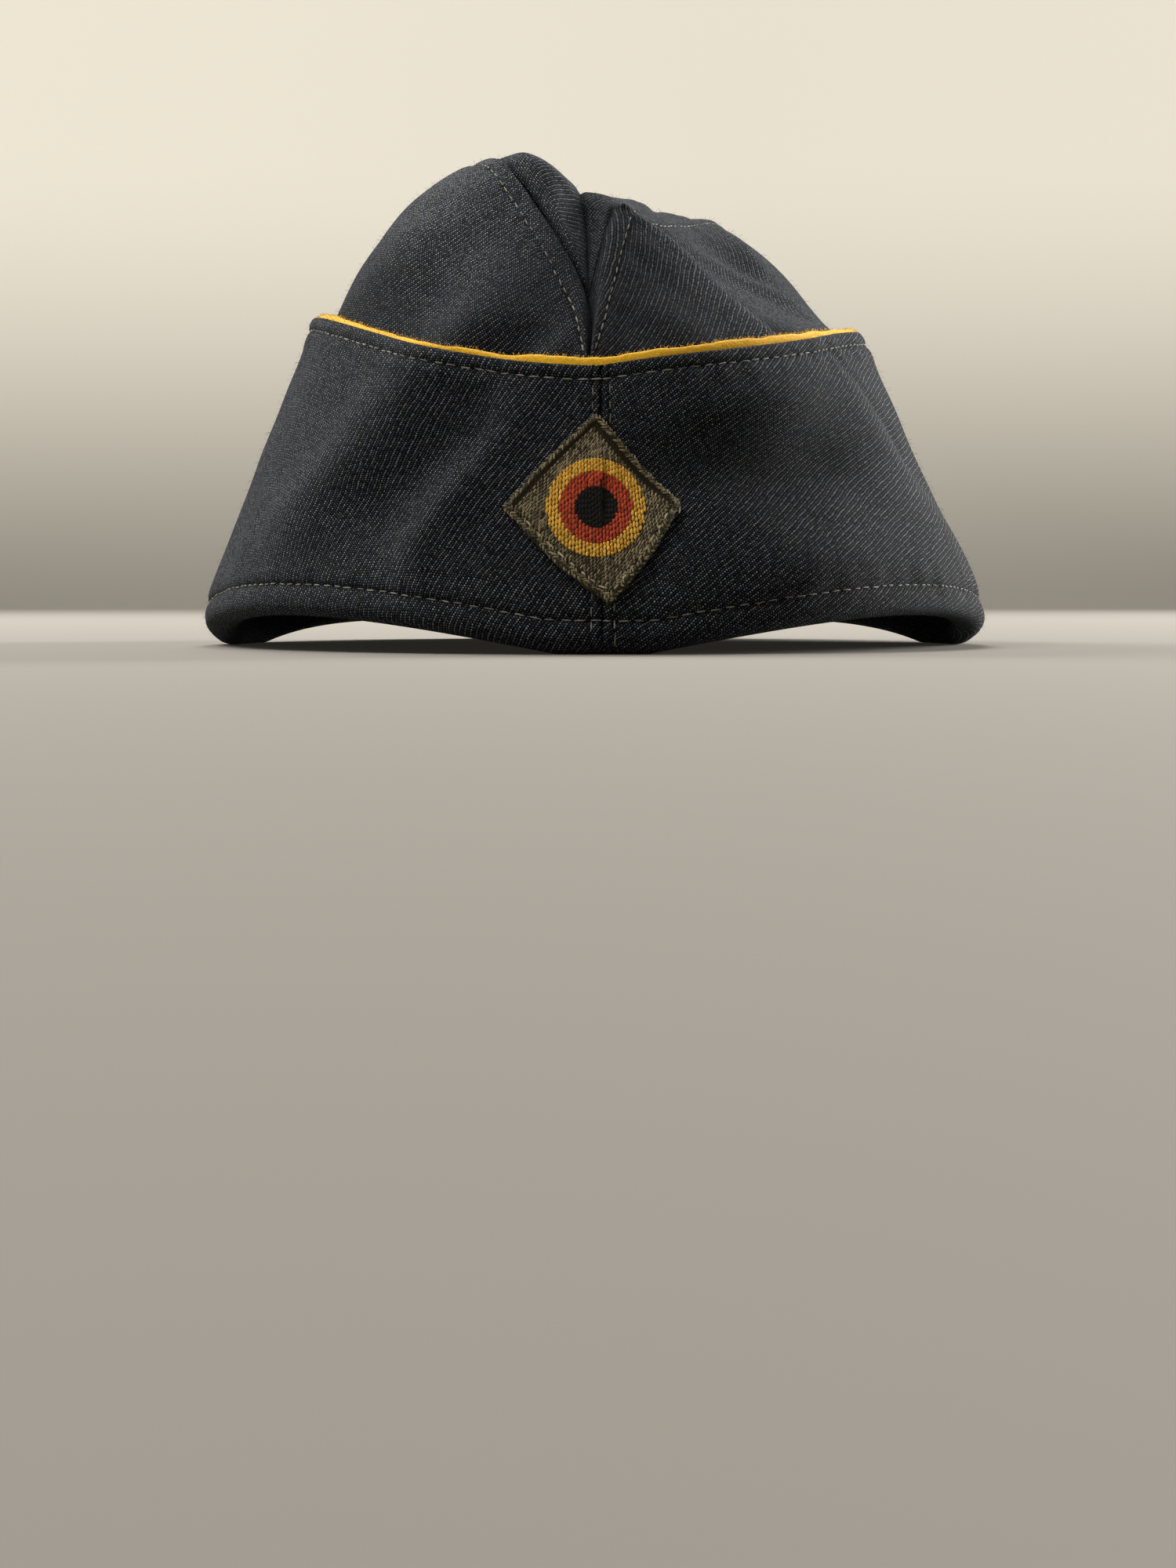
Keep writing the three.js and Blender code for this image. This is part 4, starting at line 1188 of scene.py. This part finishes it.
def front_place(across, up, proud):
    """A place on the front of the turn-up, by distances across, up and out from it."""
    across, up, proud = np.broadcast_arrays(*(np.asarray(a, float) for a in (across, up, proud)))
    places = np.zeros(across.shape + (3,))
    for side in (LEFT, RIGHT):
        mine = (across < 0) == (side == LEFT)
        length = turn_up_length(side, np.zeros(1))[0]
        half_width = RIM_HALF_WIDTH + (TOP_HALF_WIDTH[side] - RIM_HALF_WIDTH) * PATCH_UP
        angle = np.arcsin(np.clip(np.abs(across[mine]) / half_width, 0, 1))
        share = PATCH_UP + up[mine] / length
        face = turn_up_face(side, angle, share)
        lean = unit(turn_up_face(side, angle, share + 0.005) - turn_up_face(side, angle, share - 0.005))
        level = np.cross(UP, outward(side, angle))
        places[mine] = face + unit(np.cross(level, lean)) * proud[mine][..., None]
    return places


def edge_bulge(name, share):
    return PATCH_BULGE[name] * 4 * share * (1 - share)


def patch_edges():
    """The diamond's edges in turn: the name of the corner each starts from, its place, way and length."""
    names = list(PATCH_BULGE)
    for first, second in zip(names, names[1:] + names[:1]):
        start, end = np.array(PATCH_CORNERS[first]), np.array(PATCH_CORNERS[second])
        length = np.linalg.norm(end - start)
        yield first, start, (end - start) / length, length


def patch_place(p, q):
    """Across and up on the front for a place on the diamond, from its bottom corner (0, 0)."""
    top, right, bottom, left = (np.array(PATCH_CORNERS[name]) for name in ("top", "right", "bottom", "left"))
    p, q = p[..., None], q[..., None]
    lower = bottom + (right - bottom) * p
    upper = left + (top - left) * p
    place = lower + (upper - lower) * q
    for name, first, second, share, near in (
        ("bottom", bottom, right, p, 1 - q),
        ("right", right, top, q, p),
        ("top", left, top, p, q),
        ("left", bottom, left, q, 1 - p),
    ):
        way = (second - first) / np.linalg.norm(second - first)
        out = np.array([way[1], -way[0]]) if name in ("bottom", "right") else np.array([-way[1], way[0]])
        place = place + out * edge_bulge(name, share) * near**2
    return place


def edge_distance(across, up):
    """How far a place lies inside the nearest edge of the diamond."""
    distances = []
    for name, (x, y), way, length in patch_edges():
        share = np.clip((way[0] * (across - x) + way[1] * (up - y)) / length, 0, 1)
        inside = way[0] * (up - y) - way[1] * (across - x)
        distances.append(inside + edge_bulge(name, share))
    return np.min(distances, axis=0)


def patch_height(across, up):
    """How far the patch stands out from the turn-up."""
    corner = np.min([np.hypot(across - x, up - y) for x, y in PATCH_CORNERS.values()], axis=0)
    ring = np.hypot(across - COCKADE_ACROSS, up / COCKADE_STRETCH)
    edge = edge_distance(across, up)
    folded = EDGE_LIFT * (1 - smooth(EDGE_FOLD * 0.45, EDGE_FOLD * 1.9, edge))
    middle = RING_LIFT * (1 - smooth(COCKADE_RADIUS - 1, COCKADE_RADIUS + 0.6, ring))
    return PATCH_FIELD + folded + CORNER_LIFT * bell(corner, 4.5) + middle


def rounded_off(height, inside):
    """A height on the patch, brought down round the fold of its edge."""
    low = PATCH_LOW + EDGE_FOOT
    share = np.sqrt(np.clip(1 - (1 - np.clip(inside / EDGE_ROUND, 0, 1)) ** 2, 0, 1))
    return low + (height - low) * share


def patch_cloth():
    steps = rows_between((0, 0.14, 0.86, 1), (22, 46, 22))
    p, q = np.meshgrid(steps, steps, indexing="ij")
    at = patch_place(p, q)
    across, up = at[..., 0], at[..., 1]
    edge = np.maximum(edge_distance(across, up), 0)
    groove = 0.2 * bell(edge - EDGE_FOLD, 0.25)
    wave = 0.08 * drift(across, up, 7, 81)
    high = rounded_off(patch_height(across, up) - groove + wave, edge)
    pull = 0.22 * drift(p * 40, q * 40, 9, 83) * bell(edge, 0.8)
    outer = front_place(across + pull, up + pull, high)
    inner = front_place(across + pull, up + pull, np.full_like(p, PATCH_LOW))
    hem = 1 - smooth(EDGE_FOLD - 0.2, EDGE_FOLD + 0.2, edge)
    # Painted shadow in the groove just inside the folded edge.
    marks = {"hem": hem, "painted_shading": bell(edge - EDGE_FOLD, 0.35)}
    return make_panel("cockade_patch_cloth", outer, inner, at, marks)


def patch_finish():
    fixed = {"Roughness": 0.85, "Sheen Weight": 0.05, "Sheen Roughness": 0.5, "Specular IOR Level": 0.1}
    material, tree, surface = start_finish("cockade_patch_finish", fixed)
    place, across, up = cloth_place(tree)
    rib = across * (1 / PATCH_RIB) + (noise(tree, place, 0.8) - 0.5) * 0.6
    on_rib = rib - rib.floor()
    pick = up * (1 / PATCH_PICK) + rib.floor() * 0.5
    on_pick = pick - pick.floor()
    dome = on_rib * (1 - on_rib) * 4 * (on_pick * (1 - on_pick) * 2.4 + 0.4)
    fibre = noise(tree, place, 6.0, 3.0)
    hem, shading_mark = mark_value(tree, "hem"), mark_value(tree, "painted_shading")
    # Painted shadow: the weave is painted darker in the groove inside the folded edge.
    light = dome * (fibre * 1.2 + 0.2) * (1 - shading_mark * 0.8)
    ground = between(tree, hem, GROUND_COLOUR, EDGE_COLOUR)
    tree.links.new(between(tree, light, PATCH_SHADE, ground), surface.inputs["Base Color"])
    raise_bump(tree, surface, dome + fibre * 0.5, 0.0002, 0.7)
    return material


patch = patch_cloth()
patch.data.materials.append(patch_finish())
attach(patch, "root")
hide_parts("cockade_patch")

# Cockade. Rings of gold and red and a black centre, embroidered on the patch in upright columns of
# short satin stitches, with the rest of the diamond filled by the same stitches in grey-green.
RINGS = (
    ("cockade_centre_black", 3.65, (0.008, 0.008, 0.007, 1), (0.001, 0.001, 0.001, 1), "thread_black"),
    ("cockade_ring_red", 6.35, (0.65, 0.093, 0.035, 1), (0.165, 0.016, 0.008, 1), "thread_red"),
    ("cockade_ring_gold", COCKADE_RADIUS, (0.98, 0.58, 0.086, 1), (0.38, 0.185, 0.020, 1), "thread_gold"),
)
COLUMN_PITCH = 0.57
SATIN_PITCH = 0.96
FIELD_PITCH = 0.66
SATIN_LENGTH = 1.25
SATIN_THICK = 0.42
SATIN_SLANT = -0.03
SATIN_STRAND = 1300.0
RING_STITCH = (-0.04, 0.14, 0.58)  # how far a stitch is sunk, how it leans, and its width
FIELD_STITCH = (0.08, 0.5, 0.36)


def column_cuts(low, high, pitch, odd, rng):
    """Where a column of satin stitches is cut into stitches, between its two ends."""
    count = max(1, round((high - low) / pitch))
    step = (high - low) / count
    inner = low + step * (np.arange(count) + 0.5) if odd else low + step * np.arange(1, count)
    return np.concatenate([[low], inner + rng.uniform(-0.1, 0.1, len(inner)) * step, [high]])


def satin_stitches(inner_radius, outer_radius, in_diamond):
    """Across, up and share of length of the stitches that fill a ring, or the diamond round it."""
    rng = np.random.default_rng(91 + round(outer_radius))
    found = []
    tall = np.linspace(-20, 20, 801)
    margin = EDGE_FOLD + 0.25 + 0.25 * smooth(-3, 5, tall)
    pitch = FIELD_PITCH if in_diamond else SATIN_PITCH
    for n, across in enumerate(COCKADE_ACROSS + COLUMN_PITCH * np.arange(-31, 32)):
        off = abs(across - COCKADE_ACROSS)
        inner = COCKADE_STRETCH * math.sqrt(max(inner_radius**2 - off**2, 0))
        outer = COCKADE_STRETCH * math.sqrt(max(outer_radius**2 - off**2, 0))
        top, bottom = outer, -outer
        if in_diamond:
            room = tall[edge_distance(np.full_like(tall, across), tall) > margin]
            top, bottom = (room.max(), room.min()) if len(room) else (0, 0)
        spans = [(bottom, -inner), (inner, top)] if inner > 0 else [(bottom, top)]
        for low, high in spans:
            if high - low > 0.25:
                cuts = column_cuts(low, high, pitch, n % 2, rng)
                middle = (cuts[1:] + cuts[:-1]) / 2
                sway = rng.normal(0, 0.03, len(middle)) + SATIN_SLANT * middle
                found.append(np.stack([across + sway, middle, np.diff(cuts) / pitch], 1))
    return np.concatenate(found).T


def bead_points(name, across, up, proud, way, reach=1.0):
    """Points for beads on the front, lying along a way given across and up."""
    places = front_place(across, up, proud)
    ahead = front_place(across + 0.3 * way[0], up + 0.3 * way[1], proud)
    outer = front_place(across, up, proud + 0.5)
    return points_mesh(name + "_points", places, unit(ahead - places), unit(outer - places), reach)


def satin_beads(name, stitches, sunk, lean, width, finish):
    across, up, reach = stitches
    points = bead_points(name, across, up, patch_height(across, up) - sunk, (lean, 1.0), reach)
    return grown(name, points, beads, bead_values(SATIN_LENGTH, width, SATIN_THICK, 0.08, 5, finish))


inner_radius = 0.0
for name, outer_radius, light, dark, slot in RINGS:
    stitches = satin_stitches(inner_radius, outer_radius, False)
    ring_finish = thread_finish(name + "_finish", light, dark, SATIN_STRAND, 0.5)
    ring = satin_beads(name + "_thread", stitches, *RING_STITCH, ring_finish)
    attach(ring, "root")
    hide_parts(name)
    inner_radius = outer_radius
field_finish = thread_finish("patch_field_finish", PATCH_COLOUR, PATCH_SHADE, SATIN_STRAND)
field_stitches = satin_stitches(COCKADE_RADIUS, 0.0, True)
field = satin_beads("cockade_field_thread", field_stitches, *FIELD_STITCH, field_finish)
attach(field, "root")

# Patch edging and hand stitches. The folded edge of the patch shows the ends of its weave as short
# slanting knots, and it is sewn down with pale thread along the two lower edges.
EDGE_STEP = 0.6  # between knots along the edge
EDGE_KNOT = (1.1, 0.36, 0.36)  # length, width, thickness
LOWER_ROWS = (0.35, 0.9, 1.4)  # rows of knots, in from the edge
UPPER_ROWS = (0.3, 0.75)
KNOT_ROWS = {"bottom": LOWER_ROWS, "right": UPPER_ROWS, "top": UPPER_ROWS, "left": LOWER_ROWS}
KNOT_COLOUR = (0.30, 0.255, 0.15, 1)
KNOT_SHADE = (0.018, 0.015, 0.008, 1)
KNOT_STRAND = 1500.0
HAND_STITCH = (1.5, 0.36, 0.3)
HAND_COLOUR = (0.62, 0.52, 0.34, 1)
HAND_SHADE = (0.26, 0.21, 0.13, 1)
HAND_STRAND = 2200.0
HAND_STITCHES = (  # across, up, way across, way up
    (-12.3, -3.9, 0.72, -0.69),
    (-10.4, -5.7, 0.66, -0.75),
    (-8.6, -7.2, 0.78, -0.62),
    (-6.7, -8.9, 0.70, -0.71),
    (-4.8, -10.6, 0.76, -0.65),
    (-3.0, -12.3, 0.72, -0.69),
    (-1.5, -13.7, 0.80, -0.60),
    (0.0, -14.9, 0.93, -0.36),
    (2.0, -15.0, 0.60, 0.80),
    (3.3, -13.2, 0.62, 0.78),
    (4.5, -11.6, 0.55, 0.83),
    (5.9, -9.9, 0.50, 0.86),
    (7.1, -8.2, 0.66, 0.75),
    (8.2, -6.5, 0.50, 0.86),
    (9.6, -4.9, 0.62, 0.78),
    (10.9, -3.2, 0.56, 0.82),
    (13.6, -2.2, 0.30, 0.95),
)


def edge_knots():
    """Places round the folded edge, in rows that step in from it, and the way that each knot lies."""
    rng = np.random.default_rng(97)
    places, ways = [], []
    for name, start, way, length in patch_edges():
        inward = np.array([-way[1], way[0]])
        for n, inset in enumerate(KNOT_ROWS[name]):
            at = np.arange(0.6, length - 0.6, EDGE_STEP) + EDGE_STEP * 0.5 * n
            at = at + rng.uniform(-0.12, 0.12, len(at))
            deep = inset - edge_bulge(name, at / length) + rng.normal(0, 0.09, len(at))
            places.append(start + way * at[:, None] + inward * deep[:, None])
            lean = 0.75 * way + 0.66 * inward * (1 if n % 2 else -1)
            ways.append(np.broadcast_to(lean, (len(at), 2)) + rng.normal(0, 0.12, (len(at), 2)))
    places, ways = np.concatenate(places), np.concatenate(ways)
    return places[:, 0], places[:, 1], (ways[:, 0], ways[:, 1])


def edge_height(across, up):
    inside = np.maximum(edge_distance(across, up), 0.05)
    return rounded_off(patch_height(across, up), inside)


knot_across, knot_up, knot_way = edge_knots()
edging_finish = thread_finish("patch_edging_finish", KNOT_COLOUR, KNOT_SHADE, KNOT_STRAND, 1.1)
edging = grown(
    "cockade_patch_edging",
    bead_points("edging", knot_across, knot_up, edge_height(knot_across, knot_up) - 0.02, knot_way),
    beads,
    bead_values(*EDGE_KNOT, 0.2, 9, edging_finish),
)
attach(edging, "root")

hand = np.array(HAND_STITCHES).T
hand_finish = thread_finish("hand_thread_finish", HAND_COLOUR, HAND_SHADE, HAND_STRAND)
hand_stitches = grown(
    "patch_hand_stitches",
    bead_points("hand", hand[0], hand[1], edge_height(hand[0], hand[1]) + 0.12, hand[2:]),
    beads,
    bead_values(*HAND_STITCH, 0.35, 9, hand_finish),
)
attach(hand_stitches, "root")

# Nap. Loose wool fibres, drawn out by brushing and wear, that stand off the twill and, shorter and
# closer together, off the felt piping.
WOOL_NAP = 130000.0  # fibres on each square metre
WOOL_FIBRE = (1.2, 0.016)  # length and thickness
WOOL_FIBRE_COLOUR = (0.09, 0.10, 0.12, 1)
WOOL_FIBRE_SHADE = (0.01, 0.011, 0.014, 1)
FELT_NAP = 3.2e6
FELT_FIBRE = (0.75, 0.028)
FELT_FIBRE_COLOUR = (0.88, 0.58, 0.06, 1)
FIBRE_STRAND = 900.0
FIBRE_LEAN = 0.9  # the most that a fibre leans, in radians


def nap_tree():
    """Short bent fibres scattered over a surface where its nap mark is set."""
    tree, given = start_tree("nap_fibres", ("Density", "Length", "Thickness", "Lean"), "Fibre")
    seed, length, lean = (Value(tree, given[name]) for name in ("Seed", "Length", "Lean"))
    density = Value(tree, given["Density"]) * point_mark(tree, "nap")
    spread = put(
        tree,
        "GeometryNodeDistributePointsOnFaces",
        {"distribute_method": "RANDOM"},
        {"Mesh": given["Geometry"], "Density": density, "Seed": seed},
    )
    bend = {"Resolution": 2, "Start": (0, 0, -0.1), "Middle": (0.05, 0, 0.6), "End": (0.55, 0.1, 0.9)}
    hook = put(tree, "GeometryNodeCurveQuadraticBezier", None, bend)
    thin = Value(tree, given["Thickness"]) / length
    ring = put(tree, "GeometryNodeCurvePrimitiveCircle", None, {"Resolution": 3, "Radius": thin})
    fibre = put(
        tree,
        "GeometryNodeCurveToMesh",
        None,
        {"Curve": hook.outputs[0], "Profile Curve": ring.outputs[0], "Fill Caps": True},
    )
    later = seed + 7.0
    tilt = by_chance(tree, lean * -1.0, lean, seed)
    spin = by_chance(tree, 0.0, 2 * math.pi, later)
    angles = put(tree, "ShaderNodeCombineXYZ", None, {0: tilt, 2: spin})
    leaning = put(tree, "FunctionNodeEulerToRotation", None, {0: angles.outputs[0]})
    turn = put(
        tree,
        "FunctionNodeRotateRotation",
        {"rotation_space": "LOCAL"},
        {0: spread.outputs["Rotation"], 1: leaning.outputs[0]},
    )
    size = by_chance(tree, length * 0.35, length, later)
    planted = set_out(tree, spread.outputs["Points"], fibre.outputs[0], turn.outputs[0], size)
    whole = put(tree, "GeometryNodeRealizeInstances", None, {0: planted})
    end_tree(tree, whole.outputs[0], given["Fibre"])
    return tree


def nap_piece(name, carrier, density, length, thickness, seed, finish):
    values = {
        "Density": density,
        "Length": length * MM,
        "Thickness": thickness * MM,
        "Lean": FIBRE_LEAN,
        "Seed": seed,
        "Fibre": finish,
    }
    piece = grown(name, carrier.data.copy(), nap, values)
    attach(piece, "root")
    return piece


nap = nap_tree()
wool_fibre = thread_finish("wool_fibre_finish", WOOL_FIBRE_COLOUR, WOOL_FIBRE_SHADE, FIBRE_STRAND)
felt_fibre = thread_finish("felt_fibre_finish", FELT_FIBRE_COLOUR, PIPING_COLOUR, FIBRE_STRAND)
for name in ("turn_up_left", "turn_up_right", "crown_side_left", "crown_side_right", "crown_top"):
    carrier = bpy.data.objects[name + "_cloth"]
    fuzz = nap_piece(name + "_nap", carrier, WOOL_NAP, *WOOL_FIBRE, 13, wool_fibre)
felt_fuzz = nap_piece("piping_nap", piping, FELT_NAP, *FELT_FIBRE, 19, felt_fibre)

# Stage. A plain pale floor that sweeps up into a backdrop, soft light from above and a low camera
# in front of the cap.
FLOOR_RADIUS = 1.9
SWEEP = 0.7
WALL_TOP = 2.8
FLOOR_COLOUR = (0.18, 0.172, 0.16, 1)
WALL_COLOUR = (0.22, 0.209, 0.183, 1)
WALL_GLOW = (0.74, 0.685, 0.575, 1)
LIGHT_COLOUR = (1.0, 0.96, 0.90)
LIGHT_AIM = Vector((0, 0, 0.05))
LIGHTS = (  # name, place, size, power
    ("overhead", (0.0, 0.75, 1.15), 0.7, 19.0),
    ("above", (-0.55, -0.25, 1.30), 0.6, 12.5),
    ("left_rear", (-0.95, 0.65, 0.80), 0.7, 22.0),
    ("right_rear", (1.3, 0.8, 0.30), 0.7, 61.0),
    ("left_front", (-0.8, -0.6, 0.90), 0.7, 2.0),
    ("front_fill", (-0.3, -1.6, 0.25), 0.7, 1.6),
)


def round_stage():
    quarter = np.linspace(0, math.pi / 2, 24)
    bend = [(FLOOR_RADIUS + SWEEP * math.sin(a), SWEEP * (1 - math.cos(a))) for a in quarter]
    profile = [*bend, (FLOOR_RADIUS + SWEEP, WALL_TOP)]
    count = 96
    turns = [2 * math.pi * n / count for n in range(count)]
    points = [(r * math.sin(t), -r * math.cos(t), z) for r, z in profile for t in turns]
    faces = [tuple(range(count))]
    for k in range(len(profile) - 1):
        low, high = k * count, (k + 1) * count
        faces += [(low + n, high + n, high + (n + 1) % count, low + (n + 1) % count) for n in range(count)]
    mesh = bpy.data.meshes.new("stage")
    mesh.from_pydata(points, [], faces)
    mesh.shade_smooth()
    stage = bpy.data.objects.new("stage", mesh)
    bpy.context.scene.collection.objects.link(stage)
    return stage


def stage_finish():
    """Plain paint, with a soft glow on the backdrop behind the cap."""
    fixed = {"Roughness": 0.95, "Specular IOR Level": 0.1, "Emission Strength": 1.0}
    material, tree, surface = start_finish("stage_finish", fixed)
    place = put(tree, "ShaderNodeTexCoord").outputs["Object"]
    _, depth, height = put(tree, "ShaderNodeSeparateXYZ", None, {0: place}).outputs

    def ramp(value, low, high, first=0.0, last=1.0):
        inputs = {"Value": value, "From Min": low, "From Max": high, "To Min": first, "To Max": last}
        node = put(tree, "ShaderNodeMapRange", {"interpolation_type": "SMOOTHSTEP"}, inputs)
        return Value(tree, node.outputs[0])

    climb = ramp(height, -0.2, 0.5)
    tree.links.new(between(tree, climb, FLOOR_COLOUR, WALL_COLOUR), surface.inputs["Base Color"])
    glow = climb * ramp(depth, 0.0, 1.8, 0.12) * ramp(height, 0.9, 1.3, 1.0, 0.0)
    tree.links.new(between(tree, glow, (0, 0, 0, 1), WALL_GLOW), surface.inputs["Emission Color"])
    return material


stage = round_stage()
stage.data.materials.append(stage_finish())

for name, place, size, power in LIGHTS:
    lamp = bpy.data.lights.new(name, "AREA")
    lamp.shape = "DISK"
    lamp.size = size
    lamp.energy = power
    lamp.color = LIGHT_COLOUR
    light = bpy.data.objects.new(name, lamp)
    bpy.context.scene.collection.objects.link(light)
    light.location = place
    light.visible_camera = False
    light.rotation_euler = (light.location - LIGHT_AIM).to_track_quat("Z", "Y").to_euler()

world = bpy.data.worlds.new("room")
world.use_nodes = True
room = world.node_tree.nodes["Background"].inputs
room["Color"].default_value = (*LIGHT_COLOUR, 1)
room["Strength"].default_value = 0.02
bpy.context.scene.world = world
bpy.context.scene.view_settings.view_transform = "Standard"

CAMERA_DISTANCE = 0.592
CAMERA_HEIGHT = 0.010
CAMERA_SWING = math.radians(0.75)  # a little to the left of straight in front
CAMERA_PITCH = math.radians(3.79)
CAMERA_AIM = 9 / 3600  # turned so that the cap stands a little right of the middle
lens = bpy.data.cameras.new("camera")
lens.lens = 64.8
lens.sensor_width = 36.0
lens.clip_start = 0.01
camera = bpy.data.objects.new("camera", lens)
bpy.context.scene.collection.objects.link(camera)
camera.location = (
    -CAMERA_DISTANCE * math.sin(CAMERA_SWING),
    -CAMERA_DISTANCE * math.cos(CAMERA_SWING),
    CAMERA_HEIGHT,
)
camera.rotation_euler = (math.pi / 2 - CAMERA_PITCH, 0, CAMERA_AIM - CAMERA_SWING)
bpy.context.scene.camera = camera
